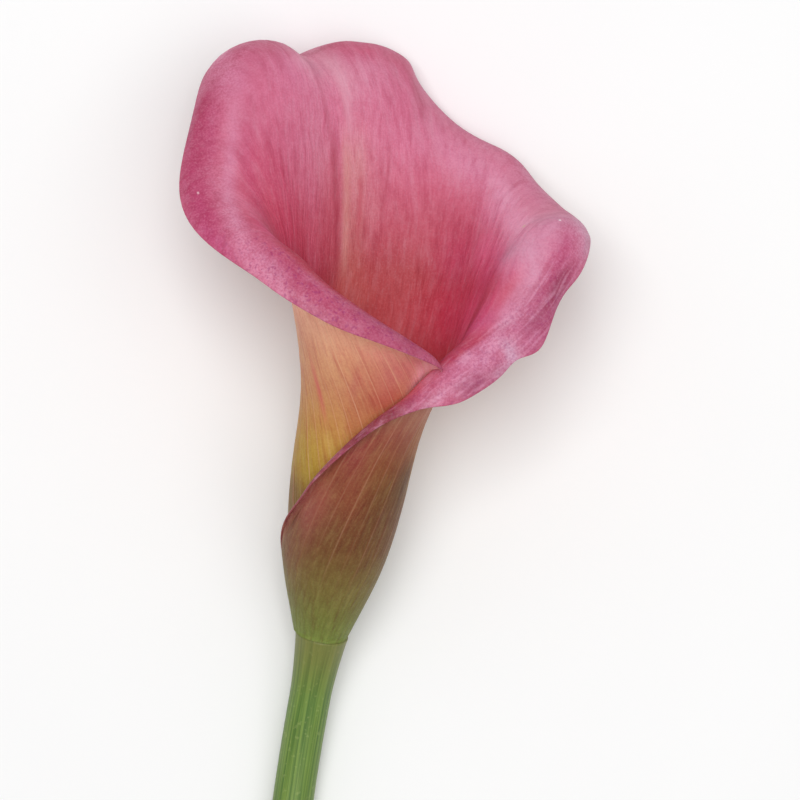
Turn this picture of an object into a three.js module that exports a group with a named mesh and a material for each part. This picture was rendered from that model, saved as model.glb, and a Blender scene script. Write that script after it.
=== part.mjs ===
// One arum lily flower (calla), picked, lying on its back on a table.
// Millimetres, +Z up. +Y runs along the flower from the cut stem to the mouth.
//
// A calla's "petal" is a single leaf, the spathe, rolled into a funnel. Every
// column of that leaf runs from the base up the tube, out over a crest and down
// a rolled lip. The columns are counted by how far they have turned round the
// funnel from the midrib, so the leaf can pass one full turn and cover itself.
// Inside stands the spadix: ovaries below, stamens above.
import * as THREE from "three";

// ---- how the flower lies ----------------------------------------------------
const TILT = 20;            // degrees, mouth end up
const LEAN = 11;            // degrees, head leaning to +X
const BASE_AT = new THREE.Vector3(-13.0, 2.4, 11.9);   // foot of the spathe

// ---- the spathe ---------------------------------------------------------------
const MIDRIB_AT = -152;     // degrees round the axis; 0 is the side that faces up
const TURN_START = -250;    // the leaf's inner margin at the base, from the midrib
const TURN_END = 350;       // its outer margin at the base
const WALL_BASE = 1.0;      // thickness of the leaf at the foot ...
const WALL_RIM = 0.7;       // ... and at the rim
const LAYER_PITCH = 1.5;    // how far one full turn moves the leaf outwards
const LAYER_FADE = 4;       // mm off the tube over which that dies away
const TUBE_BEND = 0.42;     // how long a column keeps to the tube's line
const CREST_BEND = 0.3;     // how long it keeps to the crest's line
const CREST_STEEP = 80;     // degrees at a crest that stays on the tube
const CREST_OFF = 1.0;      // mm off the tube where the crest has levelled out
const SKEW = 42;            // degrees that the middle columns slant on their way up
const SWAY = [[0, 0], [25, -0.7], [45, -0.8], [62, -0.2], [80, 0], [110, 0]];   // [height, shift of the tube]
const COLUMNS_PER_STATION = 2;
const BODY_ROWS = 24;       // from the foot to the crest, closer together towards it
const LIP_ROWS = 5;         // from the crest to the rim
const ROW_CROWDING = 1.25;

const TUBE = [              // [height, radius] of the tube
  [0, 4.2], [6, 6.1], [14, 8.5], [26, 10.6], [40, 11.5],
  [52, 12.7], [62, 15.5], [75, 18.7], [110, 26.5],
];

const STATIONS = [
  // turn, crest reach, crest height, lip length, lip droop, height where it leaves the tube
  [-226, 13.4, 54.0, 0.8, -70, 48],    // inner margin
  [-204, 17.2, 63.8, 1.0, 60, 50],
  [-180, 18.9, 69.4, 2.6, 75, 54],     // front of the throat
  [-165, 19.8, 72.1, 3.4, 75, 55],
  [-150, 20.6, 74.5, 4.4, 75, 56],
  [-136, 21.4, 76.6, 5.7, 75, 57],
  [-122, 22.5, 78.6, 6.4, 72, 58],
  [-108, 24.3, 81.0, 7.2, 68, 58],
  [-94, 26.7, 83.5, 8.3, 60, 58],
  [-72, 33.0, 86.5, 9.0, 50, 58],
  [-54, 38.0, 92.0, 7.9, 45, 58],      // left side
  [-40, 42.0, 101.0, 7.1, 50, 58],
  [-25, 45.3, 109.4, 10.0, 60, 58],    // left shoulder
  [-13, 45.3, 110.4, 11.0, 76, 58],
  [-4, 45.3, 110.6, 11.0, 85, 58],
  [4, 45.3, 110.8, 9.0, 82, 58],
  [13, 45.3, 110.6, 6.8, 76, 58],      // right shoulder
  [18, 45.9, 109.5, 6.6, 75, 58],
  [22, 45.2, 107.8, 6.5, 75, 58],
  [26, 43.2, 103.9, 6.4, 75, 58],
  [38, 41.6, 97.9, 7.5, 75, 58],
  [50, 40.3, 96.1, 8.7, 73, 58],
  [58, 39.4, 94.9, 7.8, 70, 58],
  [66, 36.9, 93.5, 7.2, 68, 58],
  [75, 34.9, 92.8, 6.9, 65, 58],
  [85, 33.6, 92.5, 6.8, 62, 57],
  [95, 33.3, 92.9, 6.8, 58, 56],
  [106, 32.4, 92.7, 7.0, 55, 56],      // right side
  [116, 30.8, 88.0, 7.2, 70, 55],
  [123, 28.3, 81.5, 6.7, 70, 53],
  [129, 25.1, 75.8, 9.0, 65, 52],
  [133, 22.9, 72.6, 7.6, 66, 51],
  [138, 20.9, 70.0, 8.2, 70, 50],
  [145, 19.3, 67.9, 8.7, 75, 49],
  [152, 18.5, 66.1, 8.5, 75, 49],
  [160, 17.6, 63.6, 7.6, 75, 48],      // the flap over the front
  [168, 16.6, 60.6, 5.0, 75, 47],
  [176, 15.7, 57.7, 3.0, 75, 46],
  [190, 14.4, 53.7, 2.0, 75, 43],
  [206, 13.3, 48.4, 1.9, 75, 39],
  [222, 12.7, 42.3, 1.9, 75, 34],
  [238, 12.2, 35.5, 1.8, 75, 29],
  [252, 11.8, 29.4, 1.3, 60, 23],
  [285, 9.7, 19.0, 0.8, 20, 13],
  [315, 7.9, 11.0, 0.6, -30, 6],
  [342, 6.1, 5.5, 0.5, -50, 2],        // outer margin
];

// The tip of the leaf: a notch in the crest, and a point on the lip that curls under.
const TIP = { turn: -5, width: 6, dip: 3.7, fade: 0.1, length: 6.2 };

// ---- the stem -------------------------------------------------------------------
const STEM_SIDES = 20;
const STEM_TOP_R = 4.9;     // under the spathe
const STEM_NECK_R = 4.2;
const STEM_END_R = 4.6;
const NECK_LENGTH = 14;
const LYING_LENGTH = 82;    // straight on the table, after the bend
const END_LEAN = -4;        // degrees: the stem swings back a little
const STEM_STEP = 4.5;
const PEG_R = 2.2;          // carries the spadix inside the spathe's foot
const PEG_TOP = 4.2;
const FIT_GAP = 0.3;

// ---- the spadix -----------------------------------------------------------------
const OVARIES = { from: PEG_TOP + FIT_GAP, row: 1.6, rows: 9, around: 8, stand: 0.8, stigma: 0.5 };
const STAMENS = { row: 1.35, rows: 23, around: 10, stand: 0.5 };
const SPADIX_R = [          // [height, radius] under the florets
  [0, 2.6], [8, 3.0], [16, 3.0], [30, 2.9], [44, 2.3], [50, 1.5], [53, 0.8],
];

// ---- helpers ----------------------------------------------------------------------
// A natural cubic spline through (x, y), returned as value and slope.
function naturalSpline(x, y) {
  const n = x.length;
  const c = new Array(n).fill(0), z = new Array(n).fill(0);
  const m = new Array(n).fill(0);
  for (let i = 1; i < n - 1; i++) {
    const a = x[i] - x[i - 1], b = x[i + 1] - x[i];
    const rhs = 6 * ((y[i + 1] - y[i]) / b - (y[i] - y[i - 1]) / a);
    const l = 2 * (a + b) - a * c[i - 1];
    c[i] = b / l;
    z[i] = (rhs - a * z[i - 1]) / l;
  }
  for (let i = n - 2; i > 0; i--) m[i] = z[i] - c[i] * m[i + 1];
  return (v) => {
    let i = 0;
    while (i < n - 2 && v > x[i + 1]) i++;
    const h = x[i + 1] - x[i], a = (x[i + 1] - v) / h, b = (v - x[i]) / h;
    return {
      value: a * y[i] + b * y[i + 1] + ((a ** 3 - a) * m[i] + (b ** 3 - b) * m[i + 1]) * h * h / 6,
      slope: (y[i + 1] - y[i]) / h + ((1 - 3 * a * a) * m[i] + (3 * b * b - 1) * m[i + 1]) * h / 6,
    };
  };
}

const radians = THREE.MathUtils.degToRad;
const mix = THREE.MathUtils.lerp;
const curveOf = (rows) => naturalSpline(rows.map((r) => r[0]), rows.map((r) => r[1]));

// A closed body from points and triangles; its faces are turned outwards.
function closedGeometry(points, triangles) {
  let volume = 0;
  for (const [a, b, c] of triangles) {
    volume += points[a].dot(new THREE.Vector3().crossVectors(points[b], points[c]));
  }
  const index = volume < 0 ? triangles.flatMap(([a, b, c]) => [a, c, b]) : triangles.flat();
  const geometry = new THREE.BufferGeometry().setFromPoints(points);
  geometry.setIndex(index);
  return geometry;
}

// ---- the spathe ---------------------------------------------------------------------
const tube = curveOf(TUBE);
const sway = curveOf(SWAY);

// Each column of the table above as a spline along the stations. The reach is
// splined as its distance from the tube, so that the tube stays round.
const order = STATIONS.map((_, i) => i);
const column = [
  (s) => s[0], (s) => s[1] - tube(s[2]).value, (s) => s[2], (s) => s[3], (s) => s[4], (s) => s[5],
].map((pick) => naturalSpline(order, STATIONS.map(pick)));

// The profile of one column as two lines of (radius, height), each with its running
// length: the body from the foot to the crest, and the rolled lip.
function profile(station) {
  const [turn, off, rise, plainLip, droop, leave] = column.map((f) => f(station).value);
  const tip = Math.exp(-(((turn - TIP.turn) / TIP.width) ** 2));
  const lip = plainLip + TIP.length * tip;
  const body = [], roll = [];
  const TUBE_STEPS = 30, BEND_STEPS = 60, LIP_STEPS = 30;
  for (let i = 0; i < TUBE_STEPS; i++) {
    const h = leave * i / TUBE_STEPS;
    body.push(new THREE.Vector2(tube(h).value, h));
  }
  // from the tube to the crest
  const foot = new THREE.Vector2(tube(leave).value, leave);
  const crest = new THREE.Vector2(tube(rise).value + off, rise);
  const chord = foot.distanceTo(crest);
  const steep = radians(CREST_STEEP) * Math.exp(-((Math.max(off, 0) / CREST_OFF) ** 2));
  const upTube = new THREE.Vector2(tube(leave).slope, 1).normalize();
  const overCrest = new THREE.Vector2(Math.cos(steep), Math.sin(steep));
  const bend = new THREE.CubicBezierCurve(
    foot, foot.clone().addScaledVector(upTube, TUBE_BEND * chord),
    crest.clone().addScaledVector(overCrest, -CREST_BEND * chord), crest);
  for (let i = 0; i <= BEND_STEPS; i++) body.push(bend.getPoint(i / BEND_STEPS));
  // the lip is an arc from the crest's slope down to the droop
  const at = crest.clone();
  roll.push(at.clone());
  for (let i = 0; i < LIP_STEPS; i++) {
    const slope = mix(-steep, radians(droop), (i + 0.5) / LIP_STEPS);
    at.x += Math.cos(slope) * lip / LIP_STEPS;
    at.y -= Math.sin(slope) * lip / LIP_STEPS;
    roll.push(at.clone());
  }
  const measured = (line) => {
    const run = [0];
    for (let i = 1; i < line.length; i++) run.push(run[i - 1] + line[i].distanceTo(line[i - 1]));
    return { line, run };
  };
  return { turn, tip, body: measured(body), roll: measured(roll) };
}

// A point of the leaf's middle sheet: across 0..1 from margin to margin,
// up 0..1 from the foot to the crest and 1..2 over the lip.
const profiles = new Map();
function leafPoint(across, up) {
  if (!profiles.has(across)) profiles.set(across, profile(across * (STATIONS.length - 1)));
  const { turn, tip, body, roll } = profiles.get(across);
  const { line, run } = up < 1 ? body : roll;
  const want = (up < 1 ? up : up - 1) * run[run.length - 1];
  let i = 0;
  while (i < run.length - 2 && run[i + 1] < want) i++;
  const p = line[i].clone().lerp(line[i + 1], (want - run[i]) / (run[i + 1] - run[i]));
  const below = Math.max(1 - up, 0);
  p.y -= TIP.dip * tip * Math.exp(-((below / TIP.fade) ** 2));
  const footTurn = mix(TURN_START, TURN_END, across) + SKEW * 4 * across * (1 - across);
  const turned = turn + (footTurn - turn) * below ** 1.3;
  const near = Math.exp(-Math.max(p.x - tube(Math.min(p.y, 60)).value, 0) / LAYER_FADE);
  const radius = p.x + LAYER_PITCH * turned / 360 * near;
  const angle = radians(MIDRIB_AT - turned);
  return new THREE.Vector3(radius * Math.sin(angle) + sway(p.y).value, -radius * Math.cos(angle), p.y);
}

function spatheGeometry(toTable) {
  const across = (STATIONS.length - 1) * COLUMNS_PER_STATION + 1;
  const rows = [];
  for (let k = 0; k < BODY_ROWS; k++) rows.push(1 - (1 - k / BODY_ROWS) ** ROW_CROWDING);
  for (let k = 0; k <= LIP_ROWS; k++) rows.push(1 + k / LIP_ROWS);
  const points = [];
  const fromTable = toTable.clone().invert();
  for (const side of [-1, 1]) {
    for (let i = 0; i < across; i++) {
      for (const u of rows) {
        const a = i / (across - 1);
        const e = 1e-4, a0 = Math.max(a - e, 0), a1 = Math.min(a + e, 1);
        const u0 = Math.max(u - e, 0), u1 = Math.min(u + e, 2);
        const along = leafPoint(a1, u).sub(leafPoint(a0, u));
        const upward = leafPoint(a, u1).sub(leafPoint(a, u0));
        const normal = along.cross(upward).normalize();
        const p = leafPoint(a, u).addScaledVector(normal, side * mix(WALL_BASE, WALL_RIM, u / 2) / 2);
        // the tip and the back lobe flatten where they press on the table
        p.applyMatrix4(toTable);
        p.z = Math.max(p.z, 0);
        points.push(p.applyMatrix4(fromTable));
      }
    }
  }
  const last = rows.length - 1, sheet = across * rows.length;
  const at = (i, j, side) => side * sheet + i * rows.length + j;
  const triangles = [];
  const quad = (a, b, c, d) => triangles.push([a, b, c], [a, c, d]);
  for (let i = 0; i < across - 1; i++) {
    for (let j = 0; j < last; j++) {
      quad(at(i, j, 1), at(i + 1, j, 1), at(i + 1, j + 1, 1), at(i, j + 1, 1));
      triangles.push([at(i, j, 0), at(i + 1, j + 1, 0), at(i + 1, j, 0)],
        [at(i, j, 0), at(i, j + 1, 0), at(i + 1, j + 1, 0)]);
    }
    quad(at(i, 0, 0), at(i + 1, 0, 0), at(i + 1, 0, 1), at(i, 0, 1));
    quad(at(i, last, 1), at(i + 1, last, 1), at(i + 1, last, 0), at(i, last, 0));
  }
  for (let j = 0; j < last; j++) {
    quad(at(0, j, 1), at(0, j + 1, 1), at(0, j + 1, 0), at(0, j, 0));
    const c = across - 1;
    quad(at(c, j, 0), at(c, j + 1, 0), at(c, j + 1, 1), at(c, j, 1));
  }
  return closedGeometry(points, triangles);
}

// ---- the stem, from its peg inside the spathe to the cut --------------------------------
function stemGeometry() {
  const rings = [];
  const heading = (tilt, lean) => new THREE.Vector3(
    -Math.sin(radians(lean)) * Math.cos(radians(tilt)),
    -Math.cos(radians(lean)) * Math.cos(radians(tilt)), -Math.sin(radians(tilt)));
  const first = heading(TILT, LEAN);
  const add = (centre, along, apothem) => {
    const side = new THREE.Vector3(0, 0, 1).cross(along).normalize();
    const top = along.clone().cross(side);
    const r = apothem / Math.cos(Math.PI / STEM_SIDES);
    rings.push(Array.from({ length: STEM_SIDES }, (_, i) => {
      const a = 2 * Math.PI * (i + 0.5) / STEM_SIDES + Math.PI / 2;
      return centre.clone().addScaledVector(side, r * Math.cos(a)).addScaledVector(top, r * Math.sin(a));
    }));
  };
  add(BASE_AT.clone().addScaledVector(first, -PEG_TOP), first, PEG_R);
  add(BASE_AT.clone().addScaledVector(first, FIT_GAP), first, PEG_R);
  const shoulder = BASE_AT.clone().addScaledVector(first, FIT_GAP);
  // a plain arc takes the stem from the flower's tilt down to the table
  const bendRadius = (shoulder.z - STEM_NECK_R) / (1 - Math.cos(radians(TILT)));
  const bendLength = bendRadius * radians(TILT);
  const length = bendLength + LYING_LENGTH;
  const steps = Math.ceil(length / STEM_STEP), FINE = 20;
  const centre = shoulder.clone();
  for (let i = 0; i <= steps; i++) {
    const run = length * i / steps;
    const tilt = TILT * Math.max(1 - run / bendLength, 0);
    const lean = mix(LEAN, END_LEAN, THREE.MathUtils.smoothstep(run / length, 0, 1));
    const neck = THREE.MathUtils.smoothstep(run / NECK_LENGTH, 0, 1);
    const lying = Math.max(run - bendLength, 0) / LYING_LENGTH;
    const radius = mix(STEM_TOP_R, STEM_NECK_R, neck) + (STEM_END_R - STEM_NECK_R) * lying;
    const here = centre.clone();
    if (lying > 0) here.z = radius;
    add(here, heading(tilt, lean), radius);
    for (let k = 0; k < FINE; k++) {
      const r = run + length / steps * (k + 0.5) / FINE;
      const t = TILT * Math.max(1 - r / bendLength, 0);
      const l = mix(LEAN, END_LEAN, THREE.MathUtils.smoothstep(r / length, 0, 1));
      centre.addScaledVector(heading(t, l), length / steps / FINE);
    }
  }
  const points = rings.flat();
  const triangles = [];
  for (let i = 0; i < rings.length - 1; i++) {
    for (let k = 0; k < STEM_SIDES; k++) {
      const a = i * STEM_SIDES + k, b = i * STEM_SIDES + (k + 1) % STEM_SIDES;
      triangles.push([a, b, b + STEM_SIDES], [a, b + STEM_SIDES, a + STEM_SIDES]);
    }
  }
  for (let k = 1; k < STEM_SIDES - 1; k++) {
    const last = (rings.length - 1) * STEM_SIDES;
    triangles.push([0, k + 1, k], [last, last + k, last + k + 1]);
  }
  return closedGeometry(points, triangles);
}

// ---- the spadix: florets in staggered rows, each raised on its own rhombus ----------------
const core = curveOf(SPADIX_R);

function floretGeometry({ from, row, rows, around, stand, stigma }) {
  const points = [], triangles = [], corners = new Map();
  const at = (place, level, lift) => {
    const h = from + row * (level + 1), a = 2 * Math.PI * place / around;
    const r = core(h).value + lift;
    return new THREE.Vector3(r * Math.sin(a), -r * Math.cos(a), h);
  };
  const corner = (place, level) => {
    const p = ((place % around) + around) % around, key = `${p},${level}`;
    if (!corners.has(key)) corners.set(key, points.push(at(p, level, 0)) - 1);
    return corners.get(key);
  };
  for (let j = 0; j < rows; j++) {
    for (let i = 0; i < around; i++) {
      const c = i + (j % 2) / 2;
      const rim = [[c - 0.5, j], [c, j - 1], [c + 0.5, j], [c, j + 1]];
      let ring = rim.map(([p, l]) => corner(p, l));
      const levels = stigma ? [[0.66, 0.8, stand], [0.2, 0.3, stand + stigma]] : [[0.62, 0.62, stand]];
      for (const [wide, tall, lift] of levels) {
        const next = rim.map(([p, l]) => points.push(at(mix(c, p, wide), mix(j, l, tall), lift)) - 1);
        for (let k = 0; k < 4; k++) {
          const n = (k + 1) % 4;
          triangles.push([ring[k], ring[n], next[n]], [ring[k], next[n], next[k]]);
        }
        ring = next;
      }
      triangles.push([ring[0], ring[1], ring[2]], [ring[0], ring[2], ring[3]]);
    }
  }
  // the two ends are closed to the axis
  const foot = points.push(new THREE.Vector3(0, 0, from)) - 1;
  const head = points.push(new THREE.Vector3(0, 0, from + row * (rows + 1))) - 1;
  const shift = ((rows - 1) % 2) / 2;
  for (let i = 0; i < around; i++) {
    const low = corner(i, -1), high = corner(i + shift, rows);
    triangles.push([foot, low, corner(i - 0.5, 0)], [foot, corner(i + 0.5, 0), low]);
    triangles.push([head, corner(i + shift - 0.5, rows - 1), high], [head, high, corner(i + shift + 0.5, rows - 1)]);
  }
  return closedGeometry(points, triangles);
}

// ---- assembly --------------------------------------------------------------------------------
const material = (color, roughness) => new THREE.MeshStandardMaterial({ color, roughness, metalness: 0 });

const lily = new THREE.Group();
lily.name = "arum_lily_flower";

// The head stands in a frame of its own: +Z along its axis, -Y towards the side that faces up.
const head = new THREE.Group();
const axis = new THREE.Vector3(
  Math.sin(radians(LEAN)) * Math.cos(radians(TILT)),
  Math.cos(radians(LEAN)) * Math.cos(radians(TILT)), Math.sin(radians(TILT)));
const sideways = new THREE.Vector3(Math.cos(radians(LEAN)), -Math.sin(radians(LEAN)), 0);
const down = new THREE.Vector3().crossVectors(axis, sideways);
head.quaternion.setFromRotationMatrix(new THREE.Matrix4().makeBasis(sideways, down, axis));
head.position.copy(BASE_AT);
head.updateMatrixWorld(true);

const spathe = new THREE.Mesh(spatheGeometry(head.matrixWorld), material("#d8568c", 0.5));
spathe.name = "spathe";
const ovaries = new THREE.Mesh(floretGeometry(OVARIES), material("#b7b45a", 0.55));
ovaries.name = "spadix_ovaries";
const stamensFrom = OVARIES.from + OVARIES.row * (OVARIES.rows + 1) + FIT_GAP;
const stamens = new THREE.Mesh(floretGeometry({ ...STAMENS, from: stamensFrom }), material("#e9b62c", 0.75));
stamens.name = "spadix_stamens";
head.add(spathe, ovaries, stamens);

const stem = new THREE.Mesh(stemGeometry(), material("#6d8f45", 0.45));
stem.name = "stem";

lily.add(head, stem);

export default lily;
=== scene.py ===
# %% [markdown]
# # An arum lily flower
# A calla, or arum lily, has no petals. Its "flower" is one leaf, the spathe,
# rolled into a funnel round a thin spike, the spadix, on a fleshy stem. The
# flower has been picked, so it lies on its back on a table, and the camera
# looks straight down on it. This lesson builds every piece from formulas with
# numpy, in the frame of a CAD model that has the same main shapes.

# %% Load the frame
import math

import bpy
import numpy as np
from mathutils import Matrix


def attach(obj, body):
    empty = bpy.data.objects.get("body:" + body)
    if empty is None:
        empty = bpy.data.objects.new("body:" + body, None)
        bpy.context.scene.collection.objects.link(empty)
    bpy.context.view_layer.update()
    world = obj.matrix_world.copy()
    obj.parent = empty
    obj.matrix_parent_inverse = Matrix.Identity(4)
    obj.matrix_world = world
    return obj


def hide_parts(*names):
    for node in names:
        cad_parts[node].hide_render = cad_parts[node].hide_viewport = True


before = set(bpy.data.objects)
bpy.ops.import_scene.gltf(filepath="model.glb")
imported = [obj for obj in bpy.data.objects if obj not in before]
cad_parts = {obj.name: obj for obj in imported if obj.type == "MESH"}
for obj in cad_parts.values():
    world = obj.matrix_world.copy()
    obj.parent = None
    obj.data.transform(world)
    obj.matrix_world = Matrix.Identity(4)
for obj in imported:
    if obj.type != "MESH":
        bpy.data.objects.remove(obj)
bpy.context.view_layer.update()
MM = 0.001

# %% [markdown]
# ## How the flower lies
# The head has a frame of its own: its axis runs up the middle of the funnel,
# `SIDEWAYS` is the flower's right, and `DOWN` points away from the side that
# faces the camera. The axis is tilted 20 degrees up from the table and leans
# 11 degrees to the right.

# %% The head's own frame
TILT, LEAN = math.radians(20), math.radians(11)
BASE_AT = np.array([-13.0, 2.4, 11.9])      # foot of the spathe, mm
AXIS = np.array([math.sin(LEAN) * math.cos(TILT),
                 math.cos(LEAN) * math.cos(TILT), math.sin(TILT)])
SIDEWAYS = np.array([math.cos(LEAN), -math.sin(LEAN), 0.0])
DOWN = np.cross(AXIS, SIDEWAYS)


def on_table(points):
    """Take points of the head's frame (right, down, along the axis) to the table's frame."""
    return BASE_AT + points @ np.stack([SIDEWAYS, DOWN, AXIS])


print("axis of the funnel", AXIS.round(3))

# %% [markdown]
# ## Smooth curves through a few measurements
# Every measured size of the flower is a short table. A natural cubic spline
# goes through all its values without a kink. Blender has curves, but a small
# spline of our own gives whole arrays at once.

# %% A natural cubic spline
def natural_spline(x, y):
    """Cubic pieces through (x, y) that share their slope and bend at every knot and
    have no bend at the two ends. Returns a function giving value and slope."""
    x, y = np.asarray(x, float), np.asarray(y, float)
    gap = np.diff(x)
    incline = np.diff(y) / gap
    n = len(x)
    system, wanted = np.eye(n), np.zeros(n)
    inner = np.arange(1, n - 1)
    system[inner, inner - 1] = gap[:-1]
    system[inner, inner] = 2 * (gap[:-1] + gap[1:])
    system[inner, inner + 1] = gap[1:]
    wanted[inner] = 6 * np.diff(incline)
    bend = np.linalg.solve(system, wanted)

    def curve(v):
        v = np.asarray(v, float)
        i = np.clip(np.searchsorted(x, v) - 1, 0, n - 2)
        h = gap[i]
        a, b = (x[i + 1] - v) / h, (v - x[i]) / h
        bowed = ((a ** 3 - a) * bend[i] + (b ** 3 - b) * bend[i + 1]) * h * h / 6
        slope = incline[i] + ((1 - 3 * a * a) * bend[i] + (3 * b * b - 1) * bend[i + 1]) * h / 6
        return a * y[i] + b * y[i + 1] + bowed, slope

    return curve


half_way = natural_spline([0, 1, 2], [0, 1, 0])(0.5)[0]
print("a spline through 0, 1, 0 is", half_way.round(3), "half way up")

# %% [markdown]
# ## From arrays to a mesh
# Every piece below ends in the same step: an array of points and an array of
# faces go into a mesh, with one number a point for each thing the colours will
# need to know, such as the height up the flower.

# %% Helpers for arrays and meshes
def mix(a, b, t):
    return a + (b - a) * t


def unit(v):
    return v / np.linalg.norm(v, axis=-1, keepdims=True)


def bell(x, width):
    """1 in the middle and close to 0 beyond twice the width: e to minus x over width, squared."""
    return np.exp(-(x / width) ** 2)


def smooth_step(x, start, end):
    """0 before start, 1 after end, and an S between: 3 t squared minus 2 t cubed."""
    t = np.clip((x - start) / (end - start), 0, 1)
    return t * t * (3 - 2 * t)


def grid_faces(rows, columns, wrap=False):
    """Quads between neighbours of a grid that is stored row after row."""
    i = np.arange(rows - 1)[:, None]
    j = np.arange(columns if wrap else columns - 1)[None, :]
    k = (j + 1) % columns
    corners = [i * columns + j, (i + 1) * columns + j, (i + 1) * columns + k, i * columns + k]
    return np.stack(np.broadcast_arrays(*corners), -1).reshape(-1, 4)


def make_piece(name, points, faces, attributes=None):
    """Points in millimetres in the table's frame and faces of four corners, of which a
    repeated last corner means a triangle, become a smooth mesh."""
    mesh = bpy.data.meshes.new(name)
    corners = [f[:3] if f[2] == f[3] else f for f in np.asarray(faces).tolist()]
    mesh.from_pydata((np.asarray(points) * MM).tolist(), [], corners)
    mesh.polygons.foreach_set("use_smooth", np.ones(len(mesh.polygons), bool))
    for key, values in (attributes or {}).items():
        layer = mesh.attributes.new(key, "FLOAT", "POINT")
        layer.data.foreach_set("value", np.asarray(values, np.float32).ravel())
    mesh.update()
    piece = bpy.data.objects.new(name, mesh)
    bpy.context.scene.collection.objects.link(piece)
    print(name, len(mesh.vertices), "points", len(mesh.polygons), "faces")
    return piece


print("a grid of 3 by 4 points has", len(grid_faces(3, 4)), "quads")

# %% [markdown]
# ## The spathe's measurements
# The leaf is a row of columns. Each runs from the foot up the tube, out over a
# crest and down a rolled lip. A column is named by its turn: how many degrees
# it stands from the midrib, minus to the left. The leaf covers more than one
# full turn, so the right margin, at plus 342 degrees, is a flap over the left
# one, at minus 226.

# %% Tables of the spathe, in millimetres and degrees
MIDRIB_AT = -152                        # where the midrib stands round the axis
TURN_START, TURN_END = -250, 350        # the two margins at the foot
SKEW, TURN_FADE = 42, 1.3               # how the columns lean between foot and crest
WALL_BASE, WALL_RIM = 1.0, 0.7
LAYER_PITCH, LAYER_FADE, LAYERS_TO = 1.5, 4, 60     # the roll: a step outwards each full turn
TUBE_BEND, CREST_BEND = 0.42, 0.3       # handles of the Bezier bend, as shares of its chord
CREST_STEEP, CREST_OFF = 80, 1.0
# the curled tip: where it is and how wide, how far it dips, and how much longer its lip is
TIP_TURN, TIP_WIDTH, TIP_DIP, TIP_FADE, TIP_LENGTH = -5, 6, 3.7, 0.1, 6.2
# sideways shift of the axis and radius of the tube, each by height
SWAY = [(0, 0), (25, -0.7), (45, -0.8), (62, -0.2), (80, 0), (110, 0)]
TUBE = [(0, 4.2), (6, 6.1), (14, 8.5), (26, 10.6), (40, 11.5), (52, 12.7), (62, 15.5),
        (75, 18.7), (110, 26.5)]
STATIONS = np.array([
    # turn, crest reach, crest height, lip length, lip droop, height where it leaves the tube
    (-226, 13.4, 54.0, 0.8, -70, 48),
    (-204, 17.2, 63.8, 1.0, 60, 50),
    (-180, 18.9, 69.4, 2.6, 75, 54),
    (-165, 19.8, 72.1, 3.4, 75, 55),
    (-150, 20.6, 74.5, 4.4, 75, 56),
    (-136, 21.4, 76.6, 5.7, 75, 57),
    (-122, 22.5, 78.6, 6.4, 72, 58),
    (-108, 24.3, 81.0, 7.2, 68, 58),
    (-94, 26.7, 83.5, 8.3, 60, 58),
    (-72, 33.0, 86.5, 9.0, 50, 58),
    (-54, 38.0, 92.0, 7.9, 45, 58),
    (-40, 42.0, 101.0, 7.1, 50, 58),
    (-25, 45.3, 109.4, 10.0, 60, 58),
    (-13, 45.3, 110.4, 11.0, 76, 58),
    (-4, 45.3, 110.6, 11.0, 85, 58),
    (4, 45.3, 110.8, 9.0, 82, 58),
    (13, 45.3, 110.6, 6.8, 76, 58),
    (18, 45.9, 109.5, 6.6, 75, 58),
    (22, 45.2, 107.8, 6.5, 75, 58),
    (26, 43.2, 103.9, 6.4, 75, 58),
    (38, 41.6, 97.9, 7.5, 75, 58),
    (50, 40.3, 96.1, 8.7, 73, 58),
    (58, 39.4, 94.9, 7.8, 70, 58),
    (66, 36.9, 93.5, 7.2, 68, 58),
    (75, 34.9, 92.8, 6.9, 65, 58),
    (85, 33.6, 92.5, 6.8, 62, 57),
    (95, 33.3, 92.9, 6.8, 58, 56),
    (106, 32.4, 92.7, 7.0, 55, 56),
    (116, 30.8, 88.0, 7.2, 70, 55),
    (123, 28.3, 81.5, 6.7, 70, 53),
    (129, 25.1, 75.8, 9.0, 65, 52),
    (133, 22.9, 72.6, 7.6, 66, 51),
    (138, 20.9, 70.0, 8.2, 70, 50),
    (145, 19.3, 67.9, 8.7, 75, 49),
    (152, 18.5, 66.1, 8.5, 75, 49),
    (160, 17.6, 63.6, 7.6, 75, 48),
    (168, 16.6, 60.6, 5.0, 75, 47),
    (176, 15.7, 57.7, 3.0, 75, 46),
    (190, 14.4, 53.7, 2.0, 75, 43),
    (206, 13.3, 48.4, 1.9, 75, 39),
    (222, 12.7, 42.3, 1.9, 75, 34),
    (238, 12.2, 35.5, 1.8, 75, 29),
    (252, 11.8, 29.4, 1.3, 60, 23),
    (285, 9.7, 19.0, 0.8, 20, 13),
    (315, 7.9, 11.0, 0.6, -30, 6),
    (342, 6.1, 5.5, 0.5, -50, 2),
], float)
tube = natural_spline(*zip(*TUBE))
sway = natural_spline(*zip(*SWAY))
print(len(STATIONS), "stations over", STATIONS[-1, 0] - STATIONS[0, 0], "degrees of turn")

# %% [markdown]
# ## Where the veins run
# Veins leave the foot side by side, fan out over the limb and close in again
# on the tip, as in most leaves of this family. One number tells which vein a
# place lies on. Later, every streak of colour is painted along it.

# %% A number that is the same all along a vein
TIP_HEIGHT = 118            # where the veins would meet
TIP_NEAREST = 2             # no place counts as nearer to the tip than this
VEIN_FROM = 45              # the height where the number equals the turn
LEFT_LEAN, LEFT_FULL, LEFT_TOP = 0.008, 60, 75


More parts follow.
